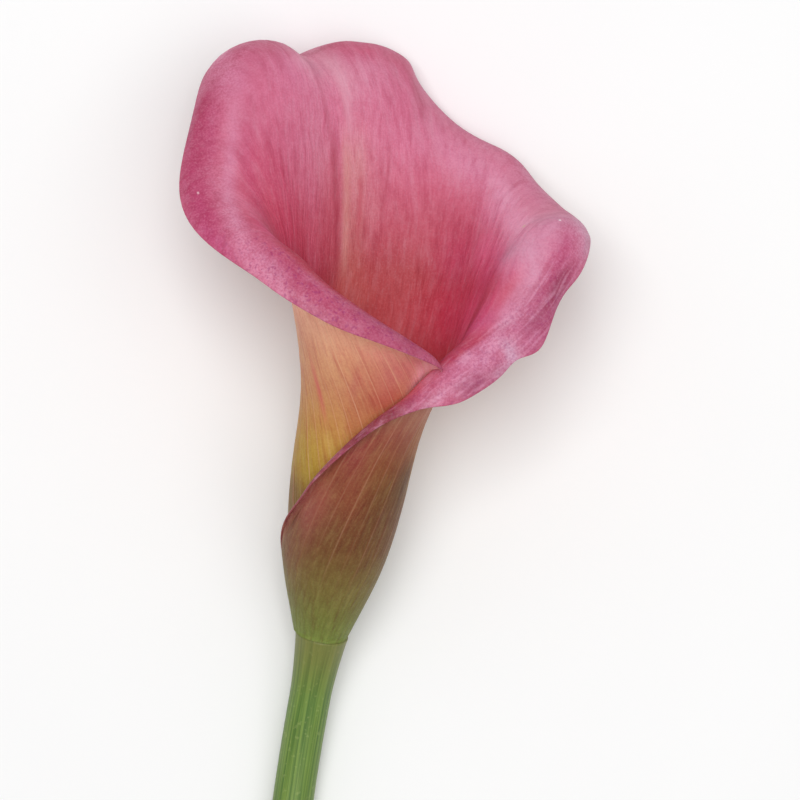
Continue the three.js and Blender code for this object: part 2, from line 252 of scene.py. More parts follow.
def vein_place(turned, height):
    """The turn, spread by one over the square root of the distance left to the tip, and
    on the left by e to a power that grows with the height, as the veins lean more there."""
    above = np.minimum(height, LEFT_TOP) - VEIN_FROM
    left = np.clip(-turned / LEFT_FULL, 0, 1) * above * LEFT_LEAN
    to_tip = np.maximum(TIP_HEIGHT - height, TIP_NEAREST) / (TIP_HEIGHT - VEIN_FROM)
    return turned * np.exp(left) / np.sqrt(to_tip)


low, high = vein_place(-100.0, 45.0), vein_place(-100.0, 70.0)
print("turn -100 lies on vein", low.round(), "at height 45 and", high.round(), "at height 70")

# %% [markdown]
# ## The leaf as one sheet
# Two numbers find any place on the leaf: `across` from margin to margin, and a
# row number up each column. The whole sheet is worked out at once, as arrays
# with a row for each column of the leaf. Three stretches follow each other:
# the tube, a Bezier bend to the crest, and an arc for the lip.

# %% The middle sheet of the spathe
COLUMNS, TUBE_ROWS, BEND_ROWS, LIP_ROWS = 310, 40, 80, 22


def columns_of_the_leaf():
    """Every measured value as a spline along the stations, one entry a column. The
    reach is splined as its distance from the tube, so that the tube stays round."""
    table = STATIONS.copy()
    table[:, 1] -= tube(table[:, 2])[0]
    order = np.arange(len(table))
    across = np.linspace(0, 1, COLUMNS)
    at = across * order[-1]
    return [across[:, None], *(natural_spline(order, column)(at)[0][:, None] for column in table.T)]


def profile_of_columns(turn, off, rise, lip, droop, leave):
    """Radius and height along every column: the tube's own curve, then a cubic Bezier
    curve that starts along the tube and arrives at the crest, steep where the leaf
    hardly leaves the tube and level elsewhere, then an arc whose slope runs evenly
    from the crest's to the droop."""
    tube_height = leave * np.arange(TUBE_ROWS) / TUBE_ROWS
    foot = np.stack([tube(leave)[0], leave], -1)
    crest = np.stack([tube(rise)[0] + off, rise], -1)
    chord = np.linalg.norm(crest - foot, axis=-1, keepdims=True)
    steep = math.radians(CREST_STEEP) * np.exp(-(np.maximum(off, 0) / CREST_OFF) ** 2)
    up_tube = unit(np.stack([tube(leave)[1], np.ones_like(leave)], -1))
    over_crest = np.stack([np.cos(steep), np.sin(steep)], -1)
    u = np.linspace(0, 1, BEND_ROWS + 1)[None, :, None]
    bend = ((1 - u) ** 3 * foot + 3 * (1 - u) ** 2 * u * (foot + TUBE_BEND * chord * up_tube)
            + 3 * (1 - u) * u ** 2 * (crest - CREST_BEND * chord * over_crest) + u ** 3 * crest)
    slope = mix(-steep, np.radians(droop), (np.arange(LIP_ROWS) + 0.5) / LIP_ROWS)
    roll_radius = crest[..., 0] + np.cumsum(np.cos(slope), 1) * lip / LIP_ROWS
    roll_height = crest[..., 1] - np.cumsum(np.sin(slope), 1) * lip / LIP_ROWS
    return (np.concatenate([tube(tube_height)[0], bend[..., 0], roll_radius], 1),
            np.concatenate([tube_height, bend[..., 1], roll_height], 1))


def spathe_sheet():
    """The profiles set round the axis. A column's turn fades from its turn at the foot
    to its turn at the crest, and each full turn lies one layer outside the last."""
    across, turn, off, rise, lip, droop, leave = columns_of_the_leaf()
    tip = np.exp(-((turn - TIP_TURN) / TIP_WIDTH) ** 2)
    lip = lip + TIP_LENGTH * tip
    radius, height = profile_of_columns(turn, off, rise, lip, droop, leave)
    step = np.hypot(np.diff(radius, axis=1), np.diff(height, axis=1))
    run = np.concatenate([np.zeros((COLUMNS, 1)), np.cumsum(step, 1)], 1)
    to_crest = run[:, TUBE_ROWS + BEND_ROWS][:, None]
    up = np.minimum(run / to_crest, 1) + np.maximum(run - to_crest, 0) / lip
    below = np.maximum(1 - up, 0)
    height = height - TIP_DIP * tip * np.exp(-(below / TIP_FADE) ** 2)
    foot_turn = mix(TURN_START, TURN_END, across) + SKEW * 4 * across * (1 - across)
    turned = turn + (foot_turn - turn) * below ** TURN_FADE
    off_tube = np.maximum(radius - tube(np.minimum(height, LAYERS_TO))[0], 0)
    near = np.exp(-off_tube / LAYER_FADE)
    radius = radius + LAYER_PITCH * turned / 360 * near
    angle = np.radians(MIDRIB_AT - turned)
    points = np.stack([radius * np.sin(angle) + sway(height)[0],
                       -radius * np.cos(angle), height], -1)
    return dict(points=points, across=across, up=up, turned=turned, height=height,
                past_crest=run - to_crest, to_rim=run[:, -1:] - run,
                vein=vein_place(turned, height))


sheet = spathe_sheet()
print("sheet", sheet["points"].shape, "longest column", sheet["to_rim"].max().round(1), "mm")

# %% [markdown]
# ## A leaf with two faces
# A spathe is about a millimetre thick and thinner at its edge. Solidify would
# give it a wall, but here the two faces differ: veins and a keel stand out on
# the outer face, while the inner one is smooth. So each face is the middle
# sheet moved half the wall along its normal, with a relief of its own, and a
# half-round strip of three rows joins them along the rim.

# %% Bends and ridges of the real leaf
VEIN_EVERY = 14.0           # the spacing of the strong veins, in vein number
RIDGE_WIDTH, RIDGES_TO, RIDGE_FADE = 0.055, 86, 22
FLUTE_DEPTH, FLUTES_FROM, FLUTES_RISE = 0.06, 62, 40
# width in vein number, share and shift of each wave
FLUTE_WAVES = [(17.0, 1.0, 0.0), (7.3, 0.7, 1.0), (3.1, 0.35, 2.0)]
# depth, turn, width, and the distances past the crest where it starts and is full:
# a hollow and a pinched ridge in the right lip, and the raised midrib below the tip
CREASES = [(-0.9, 119.5, 3.4, 0.5, 4.0), (0.8, 132, 2.2, -0.5, 2.5), (0.45, -2.5, 3.2, -26, -6)]
DIMPLE_DEPTH, DIMPLE_TURN, DIMPLE_WIDTH, DIMPLE_PAST, DIMPLE_LENGTH = -0.3, 111, 1.3, 3, 2


def flutes(vein, height):
    """How far the limb bends in and out along its veins: three waves of different
    width, which start above the tube and are strongest near the crest."""
    waves = sum(share * np.sin(vein / width + shift) for width, share, shift in FLUTE_WAVES)
    return FLUTE_DEPTH * waves * np.clip((height - FLUTES_FROM) / FLUTES_RISE, 0, 1)


def ridges(vein, height):
    """Strong veins: a narrow bell on every whole number of spacings, fading out above
    the tube."""
    place = vein / VEIN_EVERY
    low_down = np.clip((RIDGES_TO - height) / RIDGE_FADE, 0, 1)
    return bell(place - np.round(place), RIDGE_WIDTH) * low_down


def creases(turned, past_crest):
    """Small folds, each a bell over the turn that grows with the distance past the
    crest, and one round dimple, a bell both ways."""
    folds = sum(depth * bell(turned - turn, width) * smooth_step(past_crest, start, full)
                for depth, turn, width, start, full in CREASES)
    dimple = (bell(turned - DIMPLE_TURN, DIMPLE_WIDTH)
              * bell(past_crest - DIMPLE_PAST, DIMPLE_LENGTH))
    return folds + DIMPLE_DEPTH * dimple


deepest = np.abs(flutes(sheet["vein"], sheet["height"])).max()
print("flutes move the limb by up to", deepest.round(2), "mm")

# %% Both faces, the rim and the closed edges
RIM_ANGLES = np.radians([45, 90, 135])
LEAF_WIDTH = 330            # from margin to margin, mm
EDGE_THINNING, EDGE_WIDTH = 0.45, 1.2
RIDGE_RELIEF, KEEL_RELIEF = 0.04, 0.3
KEEL_TURN, KEEL_WIDTH, KEEL_FULL = 1, 5.0, 30


def spathe_points():
    """Inner face, rim and outer face as one grid, a row a column of the leaf. Along
    each face: middle sheet plus its normal times half the wall and the relief."""
    middle, vein, height = sheet["points"], sheet["vein"], sheet["height"]
    normal = unit(np.cross(np.gradient(middle, axis=0), np.gradient(middle, axis=1)))
    folds = flutes(vein, height) + creases(sheet["turned"], sheet["past_crest"])
    middle = middle + normal * folds[..., None]
    side = np.minimum(sheet["across"], 1 - sheet["across"]) * LEAF_WIDTH
    edge = bell(np.minimum(sheet["to_rim"], side), EDGE_WIDTH)
    wall = mix(WALL_BASE, WALL_RIM, sheet["up"] / 2) * (1 - EDGE_THINNING * edge)
    keel = bell(sheet["turned"] - KEEL_TURN, KEEL_WIDTH) * np.clip(height / KEEL_FULL, 0, 1)
    relief = RIDGE_RELIEF * ridges(vein, height) + KEEL_RELIEF * keel
    inner = middle + normal * (wall / 2)[..., None]
    outer = middle - normal * (wall / 2 + relief)[..., None]
    onward = unit(middle[:, -1] - middle[:, -2])[:, None]
    a, b = inner[:, -1:], outer[:, -1:]
    half = np.linalg.norm(a - b, axis=-1, keepdims=True) / 2
    turn = RIM_ANGLES[None, :, None]
    rim = (a + b) / 2 + (a - b) / 2 * np.cos(turn) + onward * half * np.sin(turn)
    points = on_table(np.concatenate([inner, rim, outer[:, ::-1]], 1))
    points[..., 2] = np.maximum(points[..., 2], 0)
    return points


def both_faces(values):
    """Repeat a value of the middle sheet on the inner face, the rim and the outer face."""
    values = np.broadcast_to(values, sheet["points"].shape[:2])
    rim = np.repeat(values[:, -1:], len(RIM_ANGLES), 1)
    return np.concatenate([values, rim, values[:, ::-1]], 1).ravel()


def spathe_faces(count):
    """Quads over the grid, strips along the two side margins that join the faces row by
    row, and a strip along the foot."""
    last = sheet["points"].shape[1] - 1
    j = np.arange(last)
    twin = count - 1 - j
    start = np.stack([j, j + 1, twin - 1, twin], -1)
    end = (COLUMNS - 1) * count + np.stack([j, twin, twin - 1, j + 1], -1)
    i = np.arange(COLUMNS - 1) * count
    foot = np.stack([i + count, i + 2 * count - 1, i + count - 1, i], -1)
    return np.concatenate([grid_faces(COLUMNS, count), foot, start, end])


grid = spathe_points()
places = {key: both_faces(sheet[key]) for key in ("turned", "height", "past_crest", "vein")}
outside_of_leaf = np.zeros(grid.shape[:2])
outside_of_leaf[:, sheet["points"].shape[1] + 1:] = 1
outside_of_leaf = outside_of_leaf.ravel()
spathe = make_piece("spathe_leaf", grid.reshape(-1, 3), spathe_faces(grid.shape[1]),
                    {**places, "outside": outside_of_leaf})
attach(spathe, "root")
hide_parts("spathe")

# %% [markdown]
# ## The spadix
# Deep in the funnel stands the spike with the real flowers, each no larger
# than a pinhead. The lower zone has round ovaries with a sticky stigma, the
# upper one has stamens, two-lobed and dusted with pollen. A particle system
# could scatter them, but they grow in a strict lattice, so one closed bead is
# repeated by arrays on staggered rows.

# %% Lattices of beads on a core
SPADIX_R = [(0, 2.6), (8, 3.0), (16, 3.0), (30, 2.9), (44, 2.3), (50, 1.5), (53, 0.8)]
core = natural_spline(*zip(*SPADIX_R))


def lattice(low, high, pitch, around):
    """Places on staggered rows: height and angle, each second row turned half a step."""
    rows = np.arange(low, high, pitch)
    height, place = np.meshgrid(rows, np.arange(around), indexing="ij")
    shift = (np.arange(len(rows)) % 2)[:, None] / 2
    return height.ravel(), ((place + shift) * 2 * math.pi / around).ravel()


def closed_bead(rows, around):
    """Directions over a ball: rows of points from pole to pole, and its faces. The
    poles are single points."""
    polar, turn = np.meshgrid(np.linspace(0, math.pi, rows + 2)[1:-1],
                              np.arange(around) * 2 * math.pi / around, indexing="ij")
    ball = np.stack([np.sin(polar) * np.cos(turn), np.sin(polar) * np.sin(turn), np.cos(polar)], -1)
    ball = np.concatenate([ball.reshape(-1, 3), [[0, 0, 1], [0, 0, -1]]])
    k = np.arange(around)
    n = (k + 1) % around
    top, bottom, last = rows * around, rows * around + 1, (rows - 1) * around
    caps = np.concatenate([np.stack([n, top + 0 * k, k, k], -1),
                           np.stack([last + k, bottom + 0 * k, last + n, last + n], -1)])
    return ball, np.concatenate([grid_faces(rows, around, wrap=True), caps])


print(len(lattice(6, 20, 1.25, 11)[0]), "places on a lattice of 11 round the spike")

# %% Beads of two kinds and the spike that carries them
SPIKE_RINGS, SPIKE_AROUND, SQUARE_ENDS, THINNEST = 40, 40, 20, 0.05


def closed_tube(rings):
    """Rings of points, stored ring after ring, closed by one point in the middle of the
    first and of the last ring. The rings turn anticlockwise seen from the last one."""
    count, around = rings.shape[:2]
    middles = np.stack([rings[0].mean(0), rings[-1].mean(0)])
    k = np.arange(around)
    n = (k + 1) % around
    low, high, last = count * around, count * around + 1, (count - 1) * around
    caps = np.concatenate([np.stack([n, k, low + 0 * k, low + 0 * k], -1),
                           np.stack([last + k, last + n, high + 0 * k, high + 0 * k], -1)])
    sides = grid_faces(count, around, wrap=True)[:, ::-1]
    return np.concatenate([rings.reshape(-1, 3), middles]), np.concatenate([sides, caps])


def spike(low, high):
    """The core between two heights: rings with the core's radius round the axis. The
    ends are rounded as a superellipse with a high power, so they are nearly square."""
    height = np.linspace(low, high, SPIKE_RINGS)
    from_middle = (height - (low + high) / 2) / ((high - low) / 2)
    ends = np.sqrt(np.clip(1 - from_middle ** SQUARE_ENDS, 0, 1))
    radius = np.maximum(core(height)[0] * ends, THINNEST)[:, None]
    turn = np.arange(SPIKE_AROUND) * 2 * math.pi / SPIKE_AROUND
    height = height[:, None] + 0 * turn
    return closed_tube(np.stack([radius * np.sin(turn), -radius * np.cos(turn), height], -1))


def beads(height, angle, ball, wide, tall, stand):
    """Every bead at once: across the spike, up it and out of it, the ball's directions
    times the bead's three half sizes, turned to the bead's place on the core."""
    radius = core(height)[0]
    across = ball[None, :, 0] * wide[:, None]
    out = radius[:, None] + ball[None, :, 2] * stand
    angle = angle[:, None]
    x = out * np.sin(angle) + across * np.cos(angle)
    y = -out * np.cos(angle) + across * np.sin(angle)
    return np.stack([x, y, height[:, None] + ball[None, :, 1] * tall], -1)


def zone(name, spike_ends, rows, pitch, around, bead, bead_faces, fill, tall, stand):
    """One zone of the spadix: a stretch of the spike with a bead on every place of its
    lattice. A bead is as wide as its place times `fill`. The faces of all beads are the
    first bead's, renumbered."""
    height, angle = lattice(*rows, pitch, around)
    many = beads(height, angle, bead, fill * math.pi * core(height)[0] / around, tall, stand)
    core_points, core_faces = spike(*spike_ends)
    first = len(core_points) + np.arange(len(many))[:, None, None] * many.shape[1]
    points = np.concatenate([core_points, many.reshape(-1, 3)])
    faces = np.concatenate([core_faces, (bead_faces[None] + first).reshape(-1, 4)])
    above_core = np.hypot(points[:, 0], points[:, 1]) - core(points[:, 2])[0]
    return make_piece(name, on_table(points), faces, {"stand": above_core})


print("a stretch of the spike has", len(spike(5, 20)[0]), "points")

# %% The ovaries
BALL_BACK, STIGMA_HEIGHT, STIGMA_WIDTH = -0.4, 0.5, 0.3
ball, ball_faces = closed_bead(7, 10)
stigma = ball.copy()
knob = STIGMA_HEIGHT * bell(np.hypot(ball[:, 0], ball[:, 1]), STIGMA_WIDTH) * (ball[:, 2] > 0)
stigma[:, 2] = np.maximum(ball[:, 2], BALL_BACK) + knob
ovaries = zone("ovaries", spike_ends=(4.6, 20.8), rows=(5.6, 19.9), pitch=1.3, around=11,
               bead=stigma, bead_faces=ball_faces, fill=1.0, tall=0.82, stand=0.85)
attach(ovaries, "root")
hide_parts("spadix_ovaries")

# %% The stamens
ANTHER_BACK, FURROW_DEPTH, FURROW_WIDTH = -0.3, 0.45, 0.28
ball, ball_faces = closed_bead(4, 8)
lobed = ball.copy()
furrow = FURROW_DEPTH * bell(ball[:, 0], FURROW_WIDTH) * (ball[:, 2] > 0)
lobed[:, 2] = np.maximum(ball[:, 2], ANTHER_BACK) - furrow
stamens = zone("stamens", spike_ends=(20.9, 54.2), rows=(21.2, 53.4), pitch=0.92, around=16,
               bead=lobed, bead_faces=ball_faces, fill=1.02, tall=0.5, stand=0.52)
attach(stamens, "root")
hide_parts("spadix_stamens")

# %% [markdown]
# ## The stem
# The stem is smooth, round and fleshy. It leaves the spathe in line with its
# tube, bends down to the table in a plain arc and lies flat up to the cut. A
# bevelled curve would do, but a profile carried along a path by hand can also
# swell at the collar, ripple a little and end in a real cut face.

# %% The stem's path and thickness
STEM_TOP_R, STEM_NECK_R, STEM_END_R, NECK_LENGTH = 4.9, 4.2, 4.6, 14
PEG_R, PEG_TOP, FIT_GAP = 2.2, 4.2, 0.3
LYING_LENGTH, END_LEAN = 82, math.radians(-4)
PATH_STEP = 0.2


def heading(tilt, lean):
    """The way down the stem: against the funnel's axis."""
    return -np.stack([np.sin(lean) * np.cos(tilt), np.cos(lean) * np.cos(tilt), np.sin(tilt)], -1)


shoulder = BASE_AT + FIT_GAP * heading(TILT, LEAN)
bend_radius = (shoulder[2] - STEM_NECK_R) / (1 - math.cos(TILT))
bend_length = bend_radius * TILT
stem_length = bend_length + LYING_LENGTH


def stem_path(run):
    """Where the middle of the stem is after each length of run, and which way it goes:
    small steps along the heading are added up, and the lying part rests on the table."""
    fine = np.arange(0, stem_length + 1, PATH_STEP)
    way = heading(TILT * np.maximum(1 - fine / bend_length, 0),
                  mix(LEAN, END_LEAN, smooth_step(fine, 0, stem_length)))
    steps = np.cumsum((way[1:] + way[:-1]) / 2 * PATH_STEP, 0)
    line = shoulder + np.concatenate([np.zeros((1, 3)), steps])
    at = np.stack([np.interp(run, fine, line[:, k]) for k in range(3)], -1)
    along = unit(np.stack([np.interp(run, fine, way[:, k]) for k in range(3)], -1))
    at[run < 0] = shoulder + run[run < 0][:, None] * along[0]
    return at, along


def stem_radius(run):
    """A neck below the flower that swells slowly towards the cut."""
    lying = np.maximum(run - bend_length, 0) / LYING_LENGTH
    neck = mix(STEM_TOP_R, STEM_NECK_R, smooth_step(run, 0, NECK_LENGTH))
    return neck + (STEM_END_R - STEM_NECK_R) * lying


print("stem", round(stem_length), "mm long, of which", round(bend_length), "mm bend")

# %% The stem's surface
STEM_AROUND, RING_EVERY = 64, 1.3
COLLAR_SWELL, COLLAR_FADE = 0.55, 3.0
# where the rings stand: the shoulder, with its radii, and the skin, whose first rings
# stand close together
SHOULDER_AT, SHOULDER_R = [-0.2, -0.1, -0.05], [PEG_R, 4.6, 5.2]
SKIN_START, SKIN_FROM, SKIN_ENDS = [0.1, 0.5, 1.1, 2.0, 3.0, 4.2], 5.5, 1.0
RIBS, RIB_DEPTH, RIB_RUN = 7, 0.006, 21.0
RIPPLE_DEPTH, RIPPLE_RUN = 0.004, 6.5
# the cut: how far before the end each ring stands, and its share of the stem's radius
CUT_BEFORE_END = np.array([0.25, 0.08, 0.0, 0.0, 0.02, 0.05, 0.08])
CUT_SHARE = np.array([1.0, 0.985, 0.95, 0.85, 0.6, 0.35, 0.12])
CUT_FROM, CUT_SHARPNESS = 0.3, 8


def with_ends(values, low, high):
    """A value for every ring's points, and one for each closing point."""
    return np.concatenate([values.ravel(), [low, high]])


def build_stem():
    """Rings of points: peg, collar, the long skin and the cut. A point is the path's
    middle plus the radius times (sideways cos a + upwards sin a), and the radius
    ripples slightly with the angle and the run."""
    skin = np.concatenate([SKIN_START, np.arange(SKIN_FROM, stem_length - SKIN_ENDS, RING_EVERY)])
    skin_radius = stem_radius(skin) + COLLAR_SWELL * np.exp(-skin / COLLAR_FADE)
    cut_radius = stem_radius(stem_length) * CUT_SHARE
    run = np.concatenate([[-PEG_TOP - FIT_GAP], SHOULDER_AT, skin, stem_length - CUT_BEFORE_END])
    radius = np.concatenate([[PEG_R], SHOULDER_R, skin_radius, cut_radius])
    at, along = stem_path(run)
    full = np.minimum(stem_radius(np.maximum(run, 0)), STEM_END_R)
    lying = run > bend_length
    at[lying, 2] = full[lying]
    side = unit(np.cross([0, 0, 1.0], along))
    top = np.cross(along, side)
    a = np.arange(STEM_AROUND) * 2 * math.pi / STEM_AROUND
    ribs = RIB_DEPTH * np.sin(RIBS * a)[None] * np.sin(run / RIB_RUN)[:, None]
    r = radius[:, None] * (1 + ribs + RIPPLE_DEPTH * np.sin(run / RIPPLE_RUN)[:, None])
    sideways, upwards = (r * np.cos(a))[..., None], (r * np.sin(a))[..., None]
    rings = at[:, None] + side[:, None] * sideways + top[:, None] * upwards
    rings[..., 2] = np.maximum(rings[..., 2], 0)
    points, faces = closed_tube(rings)
    every = np.ones(STEM_AROUND)
    from_top = np.abs(np.arange(STEM_AROUND) / STEM_AROUND - 0.5) * 2
    cut = np.clip((run - stem_length + CUT_FROM) * CUT_SHARPNESS, 0, 1)
    return make_piece("stem_cut", points, faces, {
        "run": with_ends(run[:, None] * every, run[0], run[-1]),
        "around": with_ends(np.ones(len(run))[:, None] * from_top, 0, 0),
        "cut": with_ends(cut[:, None] * every, 0, 1),
        "middle": with_ends((1 - radius / STEM_END_R)[:, None] * every, 0, 1)})


stem = build_stem()
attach(stem, "root")
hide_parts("stem")

# %% [markdown]
# ## Colour by arithmetic
# A petal has no pattern that one texture node could give. Its colour depends
# on the height, the vein, the distance from the crest and a little chance. So
# the sums are written as Python expressions: `Wire` stands for a socket, and
# each operator adds a Math node.

# %% A socket that can be added and multiplied
class Wire:
    """An output socket in a material under construction."""

    def __init__(self, finish, socket):
        self.finish, self.socket = finish, socket

    def _math(self, operation, *values):
        return self.finish.node("ShaderNodeMath", {"operation": operation}, dict(enumerate(values)))

    def __add__(self, other): return self._math("ADD", self, other)
    def __sub__(self, other): return self._math("SUBTRACT", self, other)
    def __rsub__(self, other): return self._math("SUBTRACT", other, self)
    def __mul__(self, other): return self._math("MULTIPLY", self, other)
    def __truediv__(self, other): return self._math("DIVIDE", self, other)
    def __abs__(self): return self._math("ABSOLUTE", self)
    def nearest(self): return self._math("ROUND", self)
    __radd__, __rmul__ = __add__, __mul__


def paint(red, green, blue):
    """A colour as a screen shows it, 0 to 255, as the linear values a shader wants."""
    c = np.array([red, green, blue]) / 255
    return (*np.where(c <= 0.04045, c / 12.92, ((c + 0.055) / 1.055) ** 2.4), 1.0)


print("middle grey is", paint(128, 128, 128)[0].round(3))

# %% One method for every node
class Finish:
    """A material with one Principled shader. Constants go on the shader's own sockets."""

    def __init__(self, name, **constants):
        self.material = bpy.data.materials.new(name)
        self.material.use_nodes = True
        self.tree = self.material.node_tree
        self.tree.nodes.clear()
        self.shader = self.tree.nodes.new("ShaderNodeBsdfPrincipled")
        for key, value in constants.items():
            self.shader.inputs[key.replace("_", " ")].default_value = value
        output = self.tree.nodes.new("ShaderNodeOutputMaterial")
        self.tree.links.new(self.shader.outputs[0], output.inputs["Surface"])

    def node(self, kind, settings=None, sockets=None, out=0):
        """A node of that kind, its settings first, then the value or link of each socket."""
        made = self.tree.nodes.new(kind)
        for key, value in (settings or {}).items():
            if key == "stops":
                ramp = made.color_ramp
                while len(ramp.elements) < len(value):
                    ramp.elements.new(1.0)
                for element, (position, colour) in zip(ramp.elements, value):
                    element.position, element.color = position, colour
            else:
                setattr(made, key, value)
        for key, value in (sockets or {}).items():
            self.set(made.inputs[key], value)
        return Wire(self, made.outputs[out])

    def set(self, socket, value):
        if isinstance(value, Wire):
            self.tree.links.new(value.socket, socket)
        else:
            socket.default_value = value

    def attribute(self, name):
        return self.node("ShaderNodeAttribute", {"attribute_name": name}, out="Fac")

    def place(self):
        return self.node("ShaderNodeTexCoord", out="Object")

    def rise(self, value, start, end):
        """0 before start, 1 after end, smooth between. Where start is the greater, the
        value is 1 below the end and 0 above the start."""
        return self.node("ShaderNodeMapRange", {"interpolation_type": "SMOOTHSTEP"},
                         {"Value": value, "From Min": start, "From Max": end})

    def near(self, value, centre, width):
        """1 at the centre, falling smoothly to 0 at that distance from it."""
        return self.rise(abs(value - centre), width, 0.0)

    def blend(self, a, b, share, mode="MIX"):
        """Colour a, turned into colour b by a share, or laid over it in another blend mode."""
        settings = {"data_type": "RGBA", "blend_type": mode}
        return self.node("ShaderNodeMix", settings, {0: share, 6: a, 7: b}, out=2)

    def noise(self, vector, scale, detail=2.0, roughness=0.5):
        """Cloudy values round 0.5, about `scale` clouds to each unit of the vector."""
        return self.node("ShaderNodeTexNoise", {}, {"Vector": vector, "Scale": scale,
                                                    "Detail": detail, "Roughness": roughness})

    def vector(self, x, y, z):
        return self.node("ShaderNodeCombineXYZ", {}, {0: x, 1: y, 2: z})

    def bump(self, height, distance, strength=1.0, normal=None):
        sockets = {"Height": height, "Distance": distance, "Strength": strength}
        if normal is not None:
            sockets["Normal"] = normal
        return self.node("ShaderNodeBump", {}, sockets)

    def wear(self, piece, **inputs):
        """Connect what varies and put the finish on the piece."""
        for key, value in inputs.items():
            self.set(self.shader.inputs[key.replace("_", " ")], value)
        piece.data.materials.clear()
        piece.data.materials.append(self.material)
        print(self.material.name, len(self.tree.nodes), "nodes")


print("a finish can:", *(name for name in vars(Finish) if name[0] != "_"))

# %% [markdown]
# ## The spathe's colours, laid on with an airbrush
# The leaf is no single pink. It goes from crimson in the throat to pale rose at
# the rim, yellowish along the midrib, peach and olive on the tube, mauve brown
# on the flap. Such soft fields have no formula of their own, so they are laid
# on like paint from an airbrush: a ground colour by height, then soft strokes,
# each with a place on the leaf, a width, a height, a strength and a colour.
# They are stored as one colour a point. Some pale strokes and bands near the crests
# are partly painted highlight over paler colour, and a few dark strokes in the right
# lip's creases are painted shade. Everything finer comes from nodes.

# %% Ground colours and the airbrush
# height in millimetres and colour
INSIDE_BY_HEIGHT = [
    (0, (150, 140, 80)), (30, (170, 104, 72)), (48, (190, 74, 62)), (61, (200, 72, 76)),
    (68, (181, 64, 70)), (73, (176, 64, 73)), (80, (188, 78, 98)), (88, (201, 98, 124)),
    (96, (213, 120, 150)), (110, (205, 106, 138)),
]
OUTSIDE_BY_HEIGHT = [
    (0, (112, 130, 52)), (12, (120, 122, 46)), (26, (124, 98, 38)), (32, (134, 104, 30)),
    (36, (166, 134, 36)), (42, (185, 146, 54)), (48, (194, 140, 72)), (56, (204, 140, 96)),
    (62, (214, 154, 114)), (66, (226, 166, 132)), (70, (245, 184, 152)), (80, (232, 152, 146)),
    (95, (200, 112, 132)), (110, (196, 100, 128)),
]
FLAP_BY_HEIGHT = [
    (0, (112, 130, 52)), (12, (116, 104, 44)), (22, (112, 76, 34)), (30, (104, 62, 26)),
    (36, (112, 66, 24)), (42, (134, 76, 38)), (48, (146, 76, 56)), (54, (174, 112, 90)),
    (60, (196, 136, 112)), (70, (216, 150, 134)),
]


def by_height(stops):
    """A colour for every point: straight lines between the stops' heights."""
    heights, colours = zip(*stops)
    linear = np.array([paint(*colour)[:3] for colour in colours])
    return np.stack([np.interp(places["height"], heights, linear[:, k]) for k in range(3)], -1)


def airbrush(tint, colour, amount):
    """Move the tint towards a colour by an amount for each point."""
    return mix(tint, np.array(paint(*colour)[:3]), np.clip(amount, 0, 1)[:, None])


def strokes(tint, second, table):
    """Lay on every stroke of a table: a bell over the turn times a bell over the second
    measure, which is the height or the distance past the crest."""
    for turn, at, wide, tall, strength, colour in table:
        spot = bell(places["turned"] - turn, wide) * bell(second - at, tall)
        tint = airbrush(tint, colour, strength * spot)
    return tint


print("ground colours", len(INSIDE_BY_HEIGHT), "inside,", len(OUTSIDE_BY_HEIGHT), "outside")

# %% Strokes on the inner face
INNER_STROKES = [
    # turn, height, width, tallness, strength, colour
    (-54, 82, 17, 9, 0.85, (199, 61, 94)), (-45, 92, 9, 7, 0.7, (190, 70, 103)),
    (-32, 74, 13, 8, 0.7, (201, 69, 96)), (-15, 82, 8, 12, 0.75, (188, 80, 100)),
    (-27, 88.5, 7, 6, 0.6, (208, 110, 138)), (-33, 98, 8, 4, 0.5, (191, 82, 114)),
    (1.5, 91, 6, 7, 0.85, (210, 140, 146)), (1, 80, 8, 6, 0.75, (196, 116, 118)),
    (0, 72, 9, 5, 0.7, (192, 104, 98)), (-6, 84, 3, 9, 0.4, (196, 108, 124)),
    (-3, 67, 8, 4, 0.7, (206, 100, 96)), (12, 86, 5, 10, 0.4, (202, 116, 132)),
    (10, 67, 9, 5, 0.5, (192, 84, 80)), (55, 66, 17, 6, 0.6, (188, 64, 80)),
    (80, 68, 20, 9, 0.9, (200, 56, 86)), (66, 79, 15, 6, 0.75, (196, 72, 105)),
    (70, 88, 8, 3, 0.6, (212, 112, 146)), (84, 83, 8, 3, 0.5, (214, 92, 130)),
    (106, 72, 16, 7, 0.85, (236, 86, 130)), (100, 80, 18, 3.5, 0.8, (220, 82, 124)),
    # the pale lavender strokes near height 89 just under the right crest are partly painted
    # highlight on the crest, over paler colour
    (104, 84.5, 17, 3, 0.9, (231, 118, 160)), (94, 89, 19, 2.8, 0.9, (231, 151, 183)),
    (132, 70, 10, 8, 0.8, (206, 72, 116)), (-17, 90, 6, 5, 0.4, (214, 126, 146)),
    (3, 88, 3, 4, 0.35, (210, 140, 148)), (12, 83, 3.5, 4, 0.45, (206, 122, 134)),
    (84, 82, 7, 3.5, 0.55, (230, 104, 144)), (74, 90, 9, 3.5, 0.35, (226, 136, 168)),
    (60, 62, 20, 4, 0.4, (206, 84, 96)), (100, 89, 3, 2, 0.5, (240, 190, 212)),
    (111, 69, 6, 6, 0.55, (242, 102, 144)), (78, 83, 6, 3, 0.35, (234, 132, 166)),
    (-30, 78, 6, 6, 0.35, (216, 112, 138)), (-20, 95, 5, 6, 0.3, (216, 146, 168)),
    (6, 64, 8, 4, 0.45, (208, 110, 108)), (45, 61, 8, 3, 0.4, (214, 98, 104)),
]
inner_tint = strokes(by_height(INSIDE_BY_HEIGHT), places["height"], INNER_STROKES)
print(len(INNER_STROKES), "strokes in the funnel")

